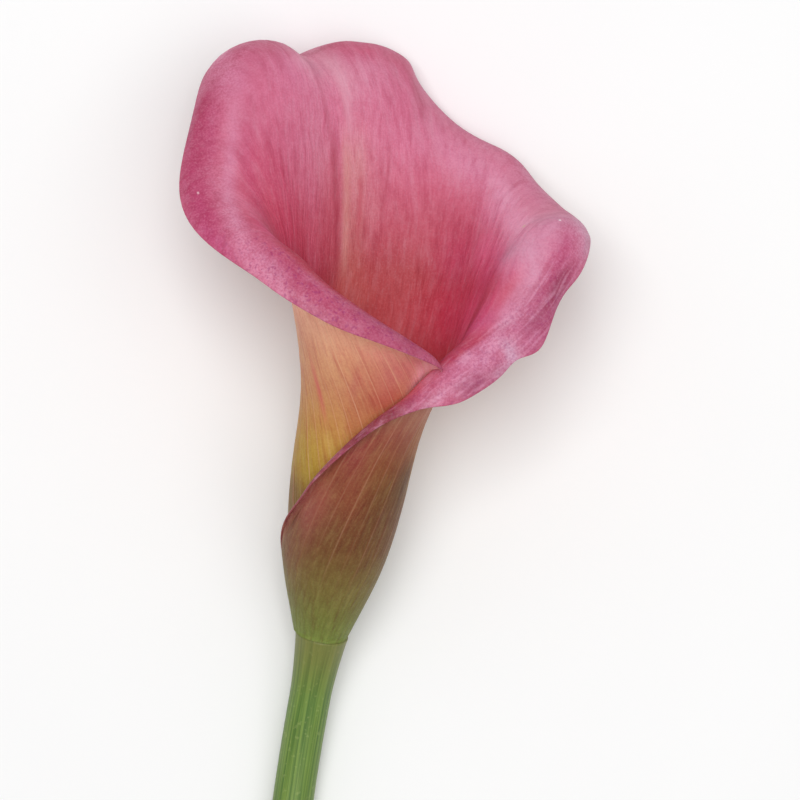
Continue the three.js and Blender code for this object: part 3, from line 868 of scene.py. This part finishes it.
# %% Strokes and bands along the rolled lip
LIP_STROKES = [
    # turn, distance past the crest, width, length, strength, colour
    # round the tip
    # the palest strokes here are partly the leaf's paler colour and partly painted highlight on the
    # midrib's ridge and along the crest
    (-20, -1.5, 7, 2.4, 0.85, (198, 95, 126)), (-20, -9, 7, 5, 0.6, (214, 124, 158)),
    (-12, -9, 5, 6, 0.8, (224, 139, 168)), (-5.5, -5, 2.8, 6, 0.75, (217, 142, 167)),
    (-2, -7, 2.6, 6, 0.8, (219, 152, 174)), (0, -12, 4, 5, 0.5, (217, 152, 170)),
    (2.8, 0.4, 4.5, 3.0, 0.85, (194, 80, 113)), (9, -3, 6, 3.4, 0.85, (205, 84, 121)),
    (18, -4, 5, 3.5, 0.8, (198, 86, 119)), (8, -10, 6, 4, 0.5, (217, 137, 165)),
    (50, -9, 15, 4, 0.7, (219, 140, 170)), (70, -7, 13, 3, 0.7, (227, 153, 183)),
    (92, -9, 13, 3.5, 0.75, (235, 160, 190)), (78, -1.5, 26, 2.4, 0.6, (212, 120, 154)),
    (66, -4.2, 2.6, 0.7, 0.4, (196, 92, 128)), (-6.5, 0, 2.2, 2.4, 0.7, (226, 144, 170)),
    (-1, 1.2, 2.6, 1.0, 0.6, (178, 68, 100)), (-12.5, -6, 4, 4, 0.4, (232, 158, 184)),
    (4, -12.5, 7, 4, 0.35, (222, 152, 176)), (28, -1, 4, 2.0, 0.6, (222, 140, 168)),
    (22, -3, 3, 2.0, 0.35, (212, 116, 146)), (70, 1.2, 14, 1.1, 0.5, (220, 144, 176)),
    (69, -7.5, 7, 4, 0.3, (230, 166, 194)), (98, -8, 4, 2.0, 0.5, (238, 180, 206)),
    # the left lip
    # its palest lavender strokes widen the painted highlight of the left sheen band, over paler
    # colour
    (-150, 1.5, 26, 5.5, 0.95, (178, 78, 112)), (-112, 2.0, 18, 2.2, 0.85, (184, 74, 111)),
    (-122, 6, 14, 1.8, 0.7, (182, 98, 125)), (-92, 0.5, 10, 2.4, 0.75, (196, 84, 117)),
    (-78, -4, 12, 2.6, 0.8, (208, 78, 116)), (-59, -8, 12, 3.0, 0.8, (196, 76, 111)),
    (-69, 5.8, 12, 2.6, 0.95, (187, 61, 109)), (-57, 5.4, 8, 2.6, 0.95, (186, 65, 108)),
    (-46, 4.4, 8, 2.4, 0.95, (181, 64, 104)), (-40, 4.6, 5, 1.8, 0.8, (184, 67, 107)),
    (-82, 7.8, 9, 1.7, 0.9, (193, 78, 124)), (-44, 6.8, 7, 1.0, 0.6, (184, 92, 125)),
    (-27, 0.0, 4.0, 4.0, 0.8, (199, 97, 131)), (-28, 6.0, 4.5, 2.2, 0.8, (221, 127, 163)),
    (-47, -6, 9, 2.0, 0.6, (198, 96, 130)), (-47, 1.6, 6, 1.6, 0.6, (189, 76, 117)),
    (-34.5, -0.5, 3.4, 3.2, 0.8, (213, 127, 161)), (-67, -3.6, 6, 2.6, 0.5, (218, 128, 158)),
    (-102, 6.8, 8, 1.2, 0.6, (206, 150, 174)), (-103, 0.2, 5, 1.2, 0.5, (176, 58, 86)),
    (-82, -4, 6, 4, 0.4, (212, 92, 132)), (-28, 6.2, 3, 1.4, 0.5, (230, 158, 188)),
    (-122, 6.4, 5, 1.0, 0.4, (196, 120, 144)), (-101, 5.0, 9, 2.0, 0.35, (206, 152, 182)),
    (-83, -4.5, 5, 2.5, 0.35, (226, 110, 150)), (-170, 2.1, 7, 2.4, 0.5, (160, 58, 90)),
    (-66, 6.9, 5, 1.6, 0.4, (178, 58, 100)), (-41, -7, 4, 3, 0.4, (190, 82, 116)),
    # the right lip
    # its palest strokes are partly the leaf's own lavender and partly painted highlight on the
    # crest, the ridge near turn 132 and the lip's lower edge
    (140, 3.0, 34, 5.0, 0.8, (203, 120, 153)), (106, -2.5, 9, 5, 0.8, (208, 140, 169)),
    (105, -10.5, 7, 3, 0.8, (240, 164, 196)), (103, 4, 7, 3.4, 0.85, (213, 157, 183)),
    # the darkest strokes at turns 118 to 124 are painted shade in the crease along the crest and in
    # the hollow below it
    (121, 4.6, 5.5, 3.2, 0.95, (158, 67, 100)), (114, 1.6, 6, 1.8, 0.75, (194, 92, 132)),
    (120, 0.8, 5, 2.0, 0.7, (186, 84, 122)), (127.5, 5.4, 3.4, 3.4, 0.9, (172, 78, 116)),
    (130.5, 6.6, 2.2, 2.4, 0.8, (188, 98, 134)), (134.4, 5.8, 1.5, 3.6, 0.8, (203, 168, 190)),
    (151, 7.0, 8, 1.8, 0.95, (168, 84, 116)), (152, 5.2, 7, 1.4, 0.6, (184, 106, 137)),
    (146, 2.6, 12, 1.6, 0.5, (210, 130, 164)), (129.4, 0.2, 2.6, 1.8, 0.9, (207, 140, 170)),
    (126, 1.5, 2.6, 1.5, 0.5, (189, 94, 133)), (131, -5, 3.6, 4, 0.8, (191, 76, 120)),
    (139, 3.2, 5, 1.6, 0.5, (208, 138, 168)), (140, 7.6, 4, 1.5, 0.8, (194, 136, 162)),
    (108, 5.8, 4.5, 1.3, 0.8, (208, 158, 182)), (122, 6.2, 2.4, 0.9, 0.6, (190, 116, 148)),
    (135.5, 7.0, 3.0, 1.3, 0.6, (204, 150, 176)), (127, 4.2, 3.0, 1.2, 0.45, (158, 66, 100)),
    (146, 1.8, 3, 1.3, 0.6, (214, 138, 168)), (127.5, -1.6, 2.6, 1.6, 0.6, (206, 130, 162)),
    (170, 4.0, 5, 1.3, 0.6, (214, 168, 188)), (128, -12, 5, 6, 0.85, (203, 76, 117)),
    (163, -1.6, 5, 2.0, 0.85, (216, 138, 166)), (177, 2.6, 5, 2.4, 0.85, (176, 86, 120)),
    (119, -8.5, 4, 2.5, 0.5, (190, 84, 122)), (122, 4.0, 2.6, 1.2, 0.5, (148, 60, 88)),
    (118, 4.2, 2.2, 1.2, 0.35, (164, 68, 100)), (144, 4.0, 3.2, 1.3, 0.5, (216, 150, 182)),
    (137, -5, 3, 3, 0.45, (212, 86, 126)), (131, 0.6, 2, 1.0, 0.5, (214, 158, 182)),
    (124, -3, 3, 1.3, 0.4, (198, 128, 158)), (123.3, 0.5, 2.2, 1.2, 0.5, (178, 88, 122)),
    (157, 5.0, 4, 1.2, 0.45, (176, 96, 126)), (164.6, 4.4, 3, 1.0, 0.6, (216, 158, 186)),
    (172, 2.2, 4, 1.0, 0.5, (182, 82, 118)), (119.5, 3.8, 2, 1.0, 0.4, (146, 58, 88)),
    # the flap's lip
    (187, 1.4, 9, 2.2, 0.95, (142, 58, 70)), (204, 1.2, 14, 2.6, 0.95, (134, 60, 68)),
    (232, 0.8, 20, 2.6, 0.9, (134, 58, 60)), (275, 0.6, 26, 2.2, 0.85, (138, 74, 66)),
]


def band(x, y, knots, width):
    """A band along a bent line: a bell over the distance of y from the line through the
    knots, fading within a fifth of the line's length at its two ends."""
    x_knots, y_knots = zip(*knots)
    reach = (x_knots[-1] - x_knots[0]) / 5
    ends = np.clip((x - x_knots[0]) / reach, 0, 1) * np.clip((x_knots[-1] - x) / reach, 0, 1)
    return bell(y - np.interp(x, x_knots, y_knots), width) * ends


ROSE, LAVENDER_AND_SHEEN, PALE_AND_SHEEN, FOLD_HIGHLIGHT = (200, 102, 135), (212, 128, 158), (207, 139, 167), (214, 170, 196)
LEFT_THROAT, RIGHT_THROAT = (178, 49, 74), (184, 56, 87)
# the lavender band along LEFT_SHEEN and the pale band along RIGHT_SHEEN are partly the leaf's paler
# colour and partly a painted highlight where the crests face the light
LEFT_SHEEN = [(-126, 8.4), (-102, 7.2), (-94, 5.9), (-86, 4.0), (-78, 1.8), (-70, 0.2), (-62, -1.2),
              (-54, -2.4), (-46, -3.0), (-38, -2.0), (-32, 0.6), (-26, 4.5)]
RIGHT_SHEEN = [(-17, 107), (-12, 110), (-8, 112.5), (-4, 116.5), (-2, 120), (-0.5, 124), (2, 130)]
# the fold line and its colour are a painted highlight along the fold of the right lip
FOLD_HIGHLIGHT_LINE = [(2.5, 134.0), (5, 134.4), (8, 134.8), (10.5, 135.0)]
turned, past = places["turned"], places["past_crest"]
inner_tint = airbrush(inner_tint, ROSE, np.interp(past, [-2, 1.5], [0, 0.85]))
inner_tint = strokes(inner_tint, past, LIP_STROKES)
on_left = smooth_step(-past, -0.6, 1.4) * smooth_step(-turned, 84, 99)
on_right = (smooth_step(-past, -0.7, 0.6) * smooth_step(turned, 131, 138)
            * smooth_step(-turned, -158, -152))
inner_tint = airbrush(inner_tint, LEFT_THROAT, on_left * 0.95)
inner_tint = airbrush(inner_tint, RIGHT_THROAT, on_right * 0.95)
inner_tint = airbrush(inner_tint, LAVENDER_AND_SHEEN, band(turned, past, LEFT_SHEEN, 1.9))
inner_tint = airbrush(inner_tint, PALE_AND_SHEEN, band(past, turned, RIGHT_SHEEN, 5.4) * 0.85)
inner_tint = airbrush(inner_tint, FOLD_HIGHLIGHT, band(past, turned, FOLD_HIGHLIGHT_LINE, 1.2) * 0.45)
print(len(LIP_STROKES), "strokes, 2 throat fields and 3 bands on the lip")

# %% Strokes on the outer face
OUTER_STROKES = [
    # turn, height, width, tallness, strength, colour
    (-168, 57.5, 22, 4.5, 0.85, (186, 80, 72)), (-172, 63, 22, 4, 0.8, (200, 110, 106)),
    (-186, 66, 12, 3, 0.8, (226, 128, 130)), (-198, 61.5, 9, 7, 0.95, (255, 184, 196)),
    (-150, 54, 12, 8, 0.7, (186, 108, 76)), (-148, 62, 10, 4, 0.7, (197, 124, 98)),
    (-142, 59.5, 3.6, 3.0, 0.7, (188, 98, 88)), (-134, 61, 6, 5, 0.4, (200, 136, 100)),
    (-162, 67, 18, 2.2, 0.6, (230, 142, 134)), (-98, 38, 16, 5, 0.5, (174, 140, 38)),
    (-90, 30, 14, 3.4, 0.8, (122, 86, 20)), (-128, 43, 8, 4, 0.5, (200, 156, 78)),
    (202, 36, 18, 8, 0.8, (140, 74, 46)), (206, 45, 15, 6, 0.8, (146, 62, 58)),
    (228, 34, 13, 7, 0.8, (156, 84, 66)), (242, 30, 12, 7, 0.8, (159, 85, 77)),
    (142, 37, 16, 5, 0.7, (84, 50, 4)), (142, 53, 8, 3, 0.5, (190, 134, 110)),
    (138, 47, 10, 4, 0.6, (164, 112, 64)), (262, 22, 20, 9, 0.7, (134, 84, 58)),
    (0, 60, 26, 30, 0.45, (158, 148, 72)), (0, 95, 7, 14, 0.5, (176, 140, 90)),
]
BLOOM_COLOUR, WAXY_BLOOM = (255, 246, 255), 0.007     # a thin bloom that pales the leaf a little
FLAP_EDGE, FLAP_EDGE_WIDTH = (148, 60, 68), 2.6
on_flap = smooth_step(turned, 105, 138)[:, None]
outer_ground = mix(by_height(OUTSIDE_BY_HEIGHT), by_height(FLAP_BY_HEIGHT), on_flap)
outer_tint = strokes(outer_ground, places["height"], OUTER_STROKES)
flap_edge = np.exp(-both_faces(np.minimum(sheet["to_rim"], 20)) / FLAP_EDGE_WIDTH)
outer_tint = airbrush(outer_tint, FLAP_EDGE, flap_edge * smooth_step(turned, 160, 190) * 0.7)
tint = mix(inner_tint, outer_tint, outside_of_leaf[:, None])
tint = airbrush(tint, BLOOM_COLOUR, np.full(len(tint), WAXY_BLOOM))
rgba = np.concatenate([tint, np.ones((len(tint), 1))], 1)
layer = spathe.data.attributes.new("tint", "FLOAT_COLOR", "POINT")
layer.data.foreach_set("color", rgba.astype(np.float32).ravel())
print(len(OUTER_STROKES), "strokes outside, tint laid on", len(tint), "points")

# %% [markdown]
# ## Streaks, veins and speckle
# Over the soft colours lie finer marks: broad and thin streaks that follow the
# veins, pale veins on the tube, a sandy speckle of single cells. They are
# nodes, because a mesh this size is too coarse for them. A noise that is
# squeezed along the vein number and stretched up the leaf gives a streak.

# %% Marks along the veins
leaf = Finish("spathe_satin", Roughness=0.5, Specular_IOR_Level=0.22, Subsurface_Weight=0.15,
              Subsurface_Scale=0.001, Subsurface_Radius=(1.0, 0.35, 0.4))
vein, turned, height = (leaf.attribute(key) for key in ("vein", "turned", "height"))
outside, past_crest = leaf.attribute("outside"), leaf.attribute("past_crest")
inside = 1 - outside
along = height / 3 + past_crest / 1.5      # grows all the way up the leaf and over the lip
wander = (leaf.noise(leaf.place(), 70.0) - 0.5) * 8


def streaks(width, length, shift, detail=2.0):
    """Noise along the veins: its width in vein number and its length in millimetres.
    The veins wander a little, so that no streak is ruled."""
    place = leaf.vector((vein + wander) / width, along / length, outside * 9 + shift)
    return leaf.noise(place, 1.0, detail)


broad, thin, hair = streaks(6.5, 9, 0.0), streaks(3.0, 3.2, 20.0), streaks(1.3, 2.2, 40.0, 3.0)
speckle = leaf.noise(leaf.place(), 2300.0, 2.0, 0.6)
mottle = leaf.noise(leaf.place(), 480.0, 2.0)
print("streaks of three widths, speckle and mottle")

# %% Darker and paler streaks over the tint
SHADE = (0.74, 0.42, 0.52, 1)              # multiplied with the tint
LIFT_INSIDE, LIFT_OUTSIDE = (0.12, 0.11, 0.13, 1), (0.13, 0.11, 0.04, 1)    # screened over it


def marks(rows):
    """The sum of several noises, each cut between two limits and given a share."""
    first, *others = [leaf.rise(noise, start, end) * share for noise, start, end, share in rows]
    for other in others:
        first = first + other
    return first


ground = leaf.node("ShaderNodeAttribute", {"attribute_name": "tint"}, out="Color")
shade = leaf.blend(ground, SHADE, 1.0, "MULTIPLY")
glow = leaf.blend(ground, leaf.blend(LIFT_INSIDE, LIFT_OUTSIDE, outside), 1.0, "SCREEN")
dark = marks([(broad, 0.50, 0.72, 0.44), (thin, 0.50, 0.74, 0.32), (hair, 0.52, 0.78, 0.10)])
light = marks([(broad, 0.50, 0.28, 0.34), (thin, 0.50, 0.26, 0.26), (hair, 0.48, 0.22, 0.08)])
calm = 1 - leaf.rise(past_crest, -5.0, 1.0) * 0.35
colour = leaf.blend(leaf.blend(ground, shade, dark * calm), glow, light * calm)
grainy = 0.8 + leaf.rise(past_crest, -3.0, 2.0) * 0.9
dark_grain = marks([(speckle, 0.46, 0.62, 0.24), (mottle, 0.45, 0.7, 0.16)])
pale_grain = marks([(speckle, 0.46, 0.32, 0.22), (mottle, 0.46, 0.28, 0.12)])
colour = leaf.blend(colour, shade, dark_grain * grainy)
colour = leaf.blend(colour, glow, pale_grain * grainy)
print("streaks and grain laid over the tint")

# %% Streaks along the rim of the side lips
RIM_PALE, PURPLE_DOT = paint(226, 164, 192), paint(148, 38, 102)
rim_line = past_crest + (broad - 0.5) * 0.9 + turned * 0.02
rim_streaks = leaf.noise(leaf.vector(rim_line / 0.8, turned / 9, 60.0), 1.0, 2.0)
dots = leaf.noise(leaf.place(), 1300.0, 1.0)
right_lip = leaf.rise(past_crest, -4.0, 1.0) * inside * leaf.rise(turned, 104, 122)
left_lip = leaf.rise(past_crest, -1.5, 1.0) * inside * leaf.rise(turned, -70, -105)
streaked = right_lip + left_lip * 0.25
dotted = right_lip * 0.25 + left_lip * 0.5
colour = leaf.blend(colour, shade, leaf.rise(rim_streaks, 0.50, 0.70) * streaked * 0.30)
colour = leaf.blend(colour, RIM_PALE, leaf.rise(rim_streaks, 0.50, 0.32) * streaked * 0.28)
colour = leaf.blend(colour, PURPLE_DOT, leaf.rise(dots, 0.55, 0.70) * dotted)
print("rim streaks and purple dots laid on the side lips")

# %% The midrib inside and the lines beside it
RIB_LINES = [
    # turn, half width, lowest and highest height, fade, share, colour
    (-4.0, 4.0, 72, 96, 5.0, 0.45, (212, 154, 144)),
    # the pale line near the tip is partly paler colour and partly a painted highlight on the
    # midrib's raised ridge
    (-2.0, 3.2, 98, 108, 5.0, 0.45, (220, 160, 178)),
    (-10.5, 3.4, 72, 97, 5.0, 0.5, (160, 54, 74)),
    (3.6, 2.4, 79, 90, 3.0, 0.6, (186, 74, 92)),
    (17.0, 1.6, 82, 95, 5.0, 0.35, (170, 62, 84)),
    (-11.5, 1.8, 98, 105, 5.0, 0.4, (172, 74, 98)),
]
for turn, half_width, low, high, fade, share, line_colour in RIB_LINES:
    line = (leaf.near(turned + (thin - 0.5) * 2.0, turn, half_width)
            * leaf.rise(height, low - fade, low + fade)
            * leaf.rise(height, high + fade, high - fade))
    colour = leaf.blend(colour, paint(*line_colour), line * inside * share)
print(len(RIB_LINES), "lines drawn at the midrib")

# %% Pale veins and pink blotches on the outer face
PALE_VEIN, BESIDE_VEIN, BLUSH = paint(220, 172, 140), paint(180, 84, 62), paint(204, 88, 88)
BLUSH_VEIN, BLUSH_HEIGHT = -127.0, 55.0


def off_vein(place):
    """The distance to the nearest whole number."""
    return abs(place - place.nearest())


strong, weak = off_vein(vein / VEIN_EVERY), off_vein(vein * 3 / VEIN_EVERY)
on_tube = (outside * leaf.rise(height, 88, 66) * leaf.rise(height, 4, 30)
           * (1 - leaf.rise(turned, 100, 140) * 0.62))
mood = leaf.rise(leaf.noise(leaf.vector(vein / 11, along / 60, 7.0), 1.0), 0.38, 0.62)
veins = marks([(strong, 0.08, 0.01, 0.46), (weak, 0.2, 0.03, 0.12)]) * (0.25 + mood * 0.75)
colour = leaf.blend(colour, PALE_VEIN, veins * on_tube * (0.3 + thin * 0.9))
beside = leaf.rise(strong, 0.20, 0.08) * (1 - leaf.rise(strong, 0.09, 0.03))
colour = leaf.blend(colour, BESIDE_VEIN, beside * on_tube * 0.2 * leaf.rise(broad, 0.40, 0.6))
blush = (leaf.near(vein + (hair - 0.5) * 8, BLUSH_VEIN, 6.0)
         * leaf.near(height, BLUSH_HEIGHT, 9.0) * outside)
colour = leaf.blend(colour, BLUSH, blush * 0.7)
print("veins and blotches drawn")

# %% A healed scratch near the right edge
SCRATCH = paint(196, 138, 164)
SPOTS = [
    # turn, distance past the crest, half width, half length, share, colour
    (98.0, -8.2, 1.3, 0.6, 0.9, (214, 196, 160)), (104.4, -0.9, 0.7, 0.4, 1.0, (246, 226, 236)),
    (-64.0, 5.0, 0.7, 0.35, 0.8, (240, 206, 216)),
]
scratch_turn = 98 + (past_crest + 8) * 0.88
scratch = (leaf.near(turned - scratch_turn, 0.0, 0.8)
           * leaf.rise(past_crest, -8.4, -7.6) * leaf.rise(past_crest, -0.6, -1.4) * inside)
colour = leaf.blend(colour, SCRATCH, scratch * 0.55 * leaf.rise(speckle, 0.35, 0.55))
for turn, past, half_width, half_length, share, spot_colour in SPOTS:
    spot = leaf.near(turned, turn, half_width) * leaf.near(past_crest, past, half_length) * inside
    colour = leaf.blend(colour, paint(*spot_colour), spot * share)
print("a scratch and", len(SPOTS), "spots drawn")

# %% Relief, gloss and the finished leaf
GROOVE_DEPTH, GRAIN_DEPTH = 0.00022, 0.00005       # metres
grooves = (hair - 0.5) * 0.5 + (thin - 0.5) * 0.9 + (broad - 0.5) * 1.1
grain = leaf.bump(speckle, GRAIN_DEPTH, 0.6, normal=leaf.bump(grooves, GROOVE_DEPTH, 0.7))
leaf.wear(spathe, Base_Color=colour, Normal=grain, Roughness=0.40 + speckle * 0.12 + mottle * 0.1)

# %% [markdown]
# ## Pollen, wax and the stem's skin
# The stamens are dull with loose pollen, the ovaries shine like wax round a
# paler stigma. The stem is satin green with fine lines along it, pale flecks
# and a moist cut, where the ends of its vessels are dark dots in the pith.

# %% Finish of the spadix
pollen = Finish("pollen", Roughness=0.9, Specular_IOR_Level=0.2, Sheen_Weight=0.1)
dust = pollen.noise(pollen.place(), 2600.0, 3.0, 0.7)
clumps = pollen.noise(pollen.place(), 420.0)
lobes = pollen.rise(pollen.attribute("stand"), 0.05, 0.5)
gold = pollen.blend(paint(206, 138, 16), paint(244, 200, 74), lobes)
gold = pollen.blend(gold, paint(250, 224, 130), pollen.rise(dust, 0.48, 0.7) * 0.6)
gold = pollen.blend(gold, paint(186, 112, 20), pollen.rise(clumps, 0.52, 0.75) * 0.4)
pollen.wear(stamens, Base_Color=gold, Normal=pollen.bump(dust, 0.0001, 0.8),
            Roughness=0.8 + dust * 0.2)

waxy = Finish("waxy_green", Roughness=0.35, Specular_IOR_Level=0.5, Subsurface_Weight=0.1,
              Subsurface_Scale=0.001)
stand = waxy.attribute("stand")
tops = waxy.rise(stand, 0.75, 1.15)
freckle = waxy.noise(waxy.place(), 1300.0)
green = waxy.blend(paint(132, 146, 58), paint(176, 180, 92), waxy.rise(stand, 0.1, 0.8))
green = waxy.blend(green, paint(190, 150, 110), waxy.rise(freckle, 0.52, 0.72) * 0.3)
green = waxy.blend(green, paint(232, 222, 160), tops)
waxy.wear(ovaries, Base_Color=green, Normal=waxy.bump(freckle, 0.00006, 0.5),
          Roughness=0.28 + freckle * 0.15 + tops * 0.3)

# %% Finish of the stem
skin = Finish("stem_skin", Roughness=0.42, Specular_IOR_Level=0.45, Subsurface_Weight=0.08,
              Subsurface_Scale=0.001)
run, round_it, cut, pith = (skin.attribute(key) for key in ("run", "around", "cut", "middle"))
lines = skin.noise(skin.vector(round_it * 26, run / 30, 0.0), 1.0, 3.0)
fine = skin.noise(skin.vector(round_it * 90, run / 14, 5.0), 1.0)
cells = skin.noise(skin.place(), 900.0)
near_flower, near_cut = skin.rise(run, 16.0, 0.0), skin.rise(run, stem_length - 14, stem_length - 1)
bark = skin.blend(paint(78, 112, 42), paint(122, 148, 66), skin.rise(lines, 0.32, 0.68))
bark = skin.blend(bark, paint(62, 92, 38), skin.rise(fine, 0.52, 0.75) * 0.45)
bark = skin.blend(bark, paint(150, 166, 96), skin.rise(cells, 0.62, 0.72) * 0.35)
bark = skin.blend(bark, paint(128, 112, 60), near_flower * (0.3 + lines * 0.5))
bark = skin.blend(bark, paint(148, 158, 84), near_cut * 0.5)
vessels = skin.node("ShaderNodeTexVoronoi", {"feature": "F1"},
                    {"Vector": skin.place(), "Scale": 900.0}, out="Distance")
in_pith = skin.rise(vessels, 0.30, 0.16) * skin.rise(pith, 0.06, 0.2)
flesh = skin.blend(paint(206, 214, 158), paint(226, 228, 190), skin.rise(pith, 0.15, 0.8))
flesh = skin.blend(flesh, paint(146, 166, 84), skin.rise(pith, 0.16, 0.06))
flesh = skin.blend(flesh, paint(132, 146, 78), in_pith * 0.8)
skin.wear(stem, Base_Color=skin.blend(bark, flesh, cut), Roughness=0.40 + fine * 0.12 - cut * 0.2,
          Normal=skin.bump(lines * 0.6 + fine * 0.4 - vessels * cut, 0.00012, 0.8))

# %% [markdown]
# ## Table, light and camera
# The table is a plain pale sheet. Two large soft lights and a bright, even
# surrounding stand for a photo studio. The camera looks straight down.

# %% The table
FLOOR_HALF, BELOW_FLOWER = 1.5, -0.0003
corners = [(-1, -1), (1, -1), (1, 1), (-1, 1)]
floor_mesh = bpy.data.meshes.new("table")
floor_mesh.from_pydata([(x * FLOOR_HALF, y * FLOOR_HALF, BELOW_FLOWER) for x, y in corners],
                       [], [(0, 1, 2, 3)])
table = bpy.data.objects.new("table", floor_mesh)
bpy.context.scene.collection.objects.link(table)
pale = Finish("table_white", Roughness=0.9, Specular_IOR_Level=0.1)
cloudy = pale.noise(pale.place(), 20.0)
pale.wear(table, Base_Color=pale.blend((0.92, 0.92, 0.92, 1), (0.94, 0.94, 0.94, 1), cloudy))

# %% Soft studio light
def softbox(name, place, aim, size, power):
    """A square area light that faces a point, both in metres."""
    light = bpy.data.lights.new(name, "AREA")
    light.size, light.energy = size, power
    lamp = bpy.data.objects.new(name, light)
    lamp.location = place
    way = unit(np.array(aim) - np.array(place))
    lamp.rotation_euler = (math.acos(-way[2]), 0, math.atan2(way[1], way[0]) - math.pi / 2)
    bpy.context.scene.collection.objects.link(lamp)
    print(name, power, "W")


softbox("key", (-0.12, 0.26, 1.15), (0.0, 0.05, 0.03), 0.6, 7.0)
softbox("fill", (0.35, -0.10, 1.15), (0.0, 0.05, 0.03), 0.9, 3.6)
world = bpy.data.worlds.new("studio")
world.use_nodes = True
background = world.node_tree.nodes["Background"]
background.inputs["Color"].default_value = (1, 1, 1, 1)
background.inputs["Strength"].default_value = 0.4
bpy.context.scene.world = world
bpy.context.scene.view_settings.view_transform = "Standard"

# %% The camera
VIEW_CENTRE, VIEW_HEIGHT, LENS = (0.0028, 0.0495), 0.945, 206.6
camera_data = bpy.data.cameras.new("camera")
camera_data.lens = LENS
camera_data.clip_end = 20
camera = bpy.data.objects.new("camera", camera_data)
camera.location = (*VIEW_CENTRE, VIEW_HEIGHT)
bpy.context.scene.collection.objects.link(camera)
bpy.context.scene.camera = camera
print("camera", VIEW_HEIGHT, "m above the table, lens", LENS, "mm")
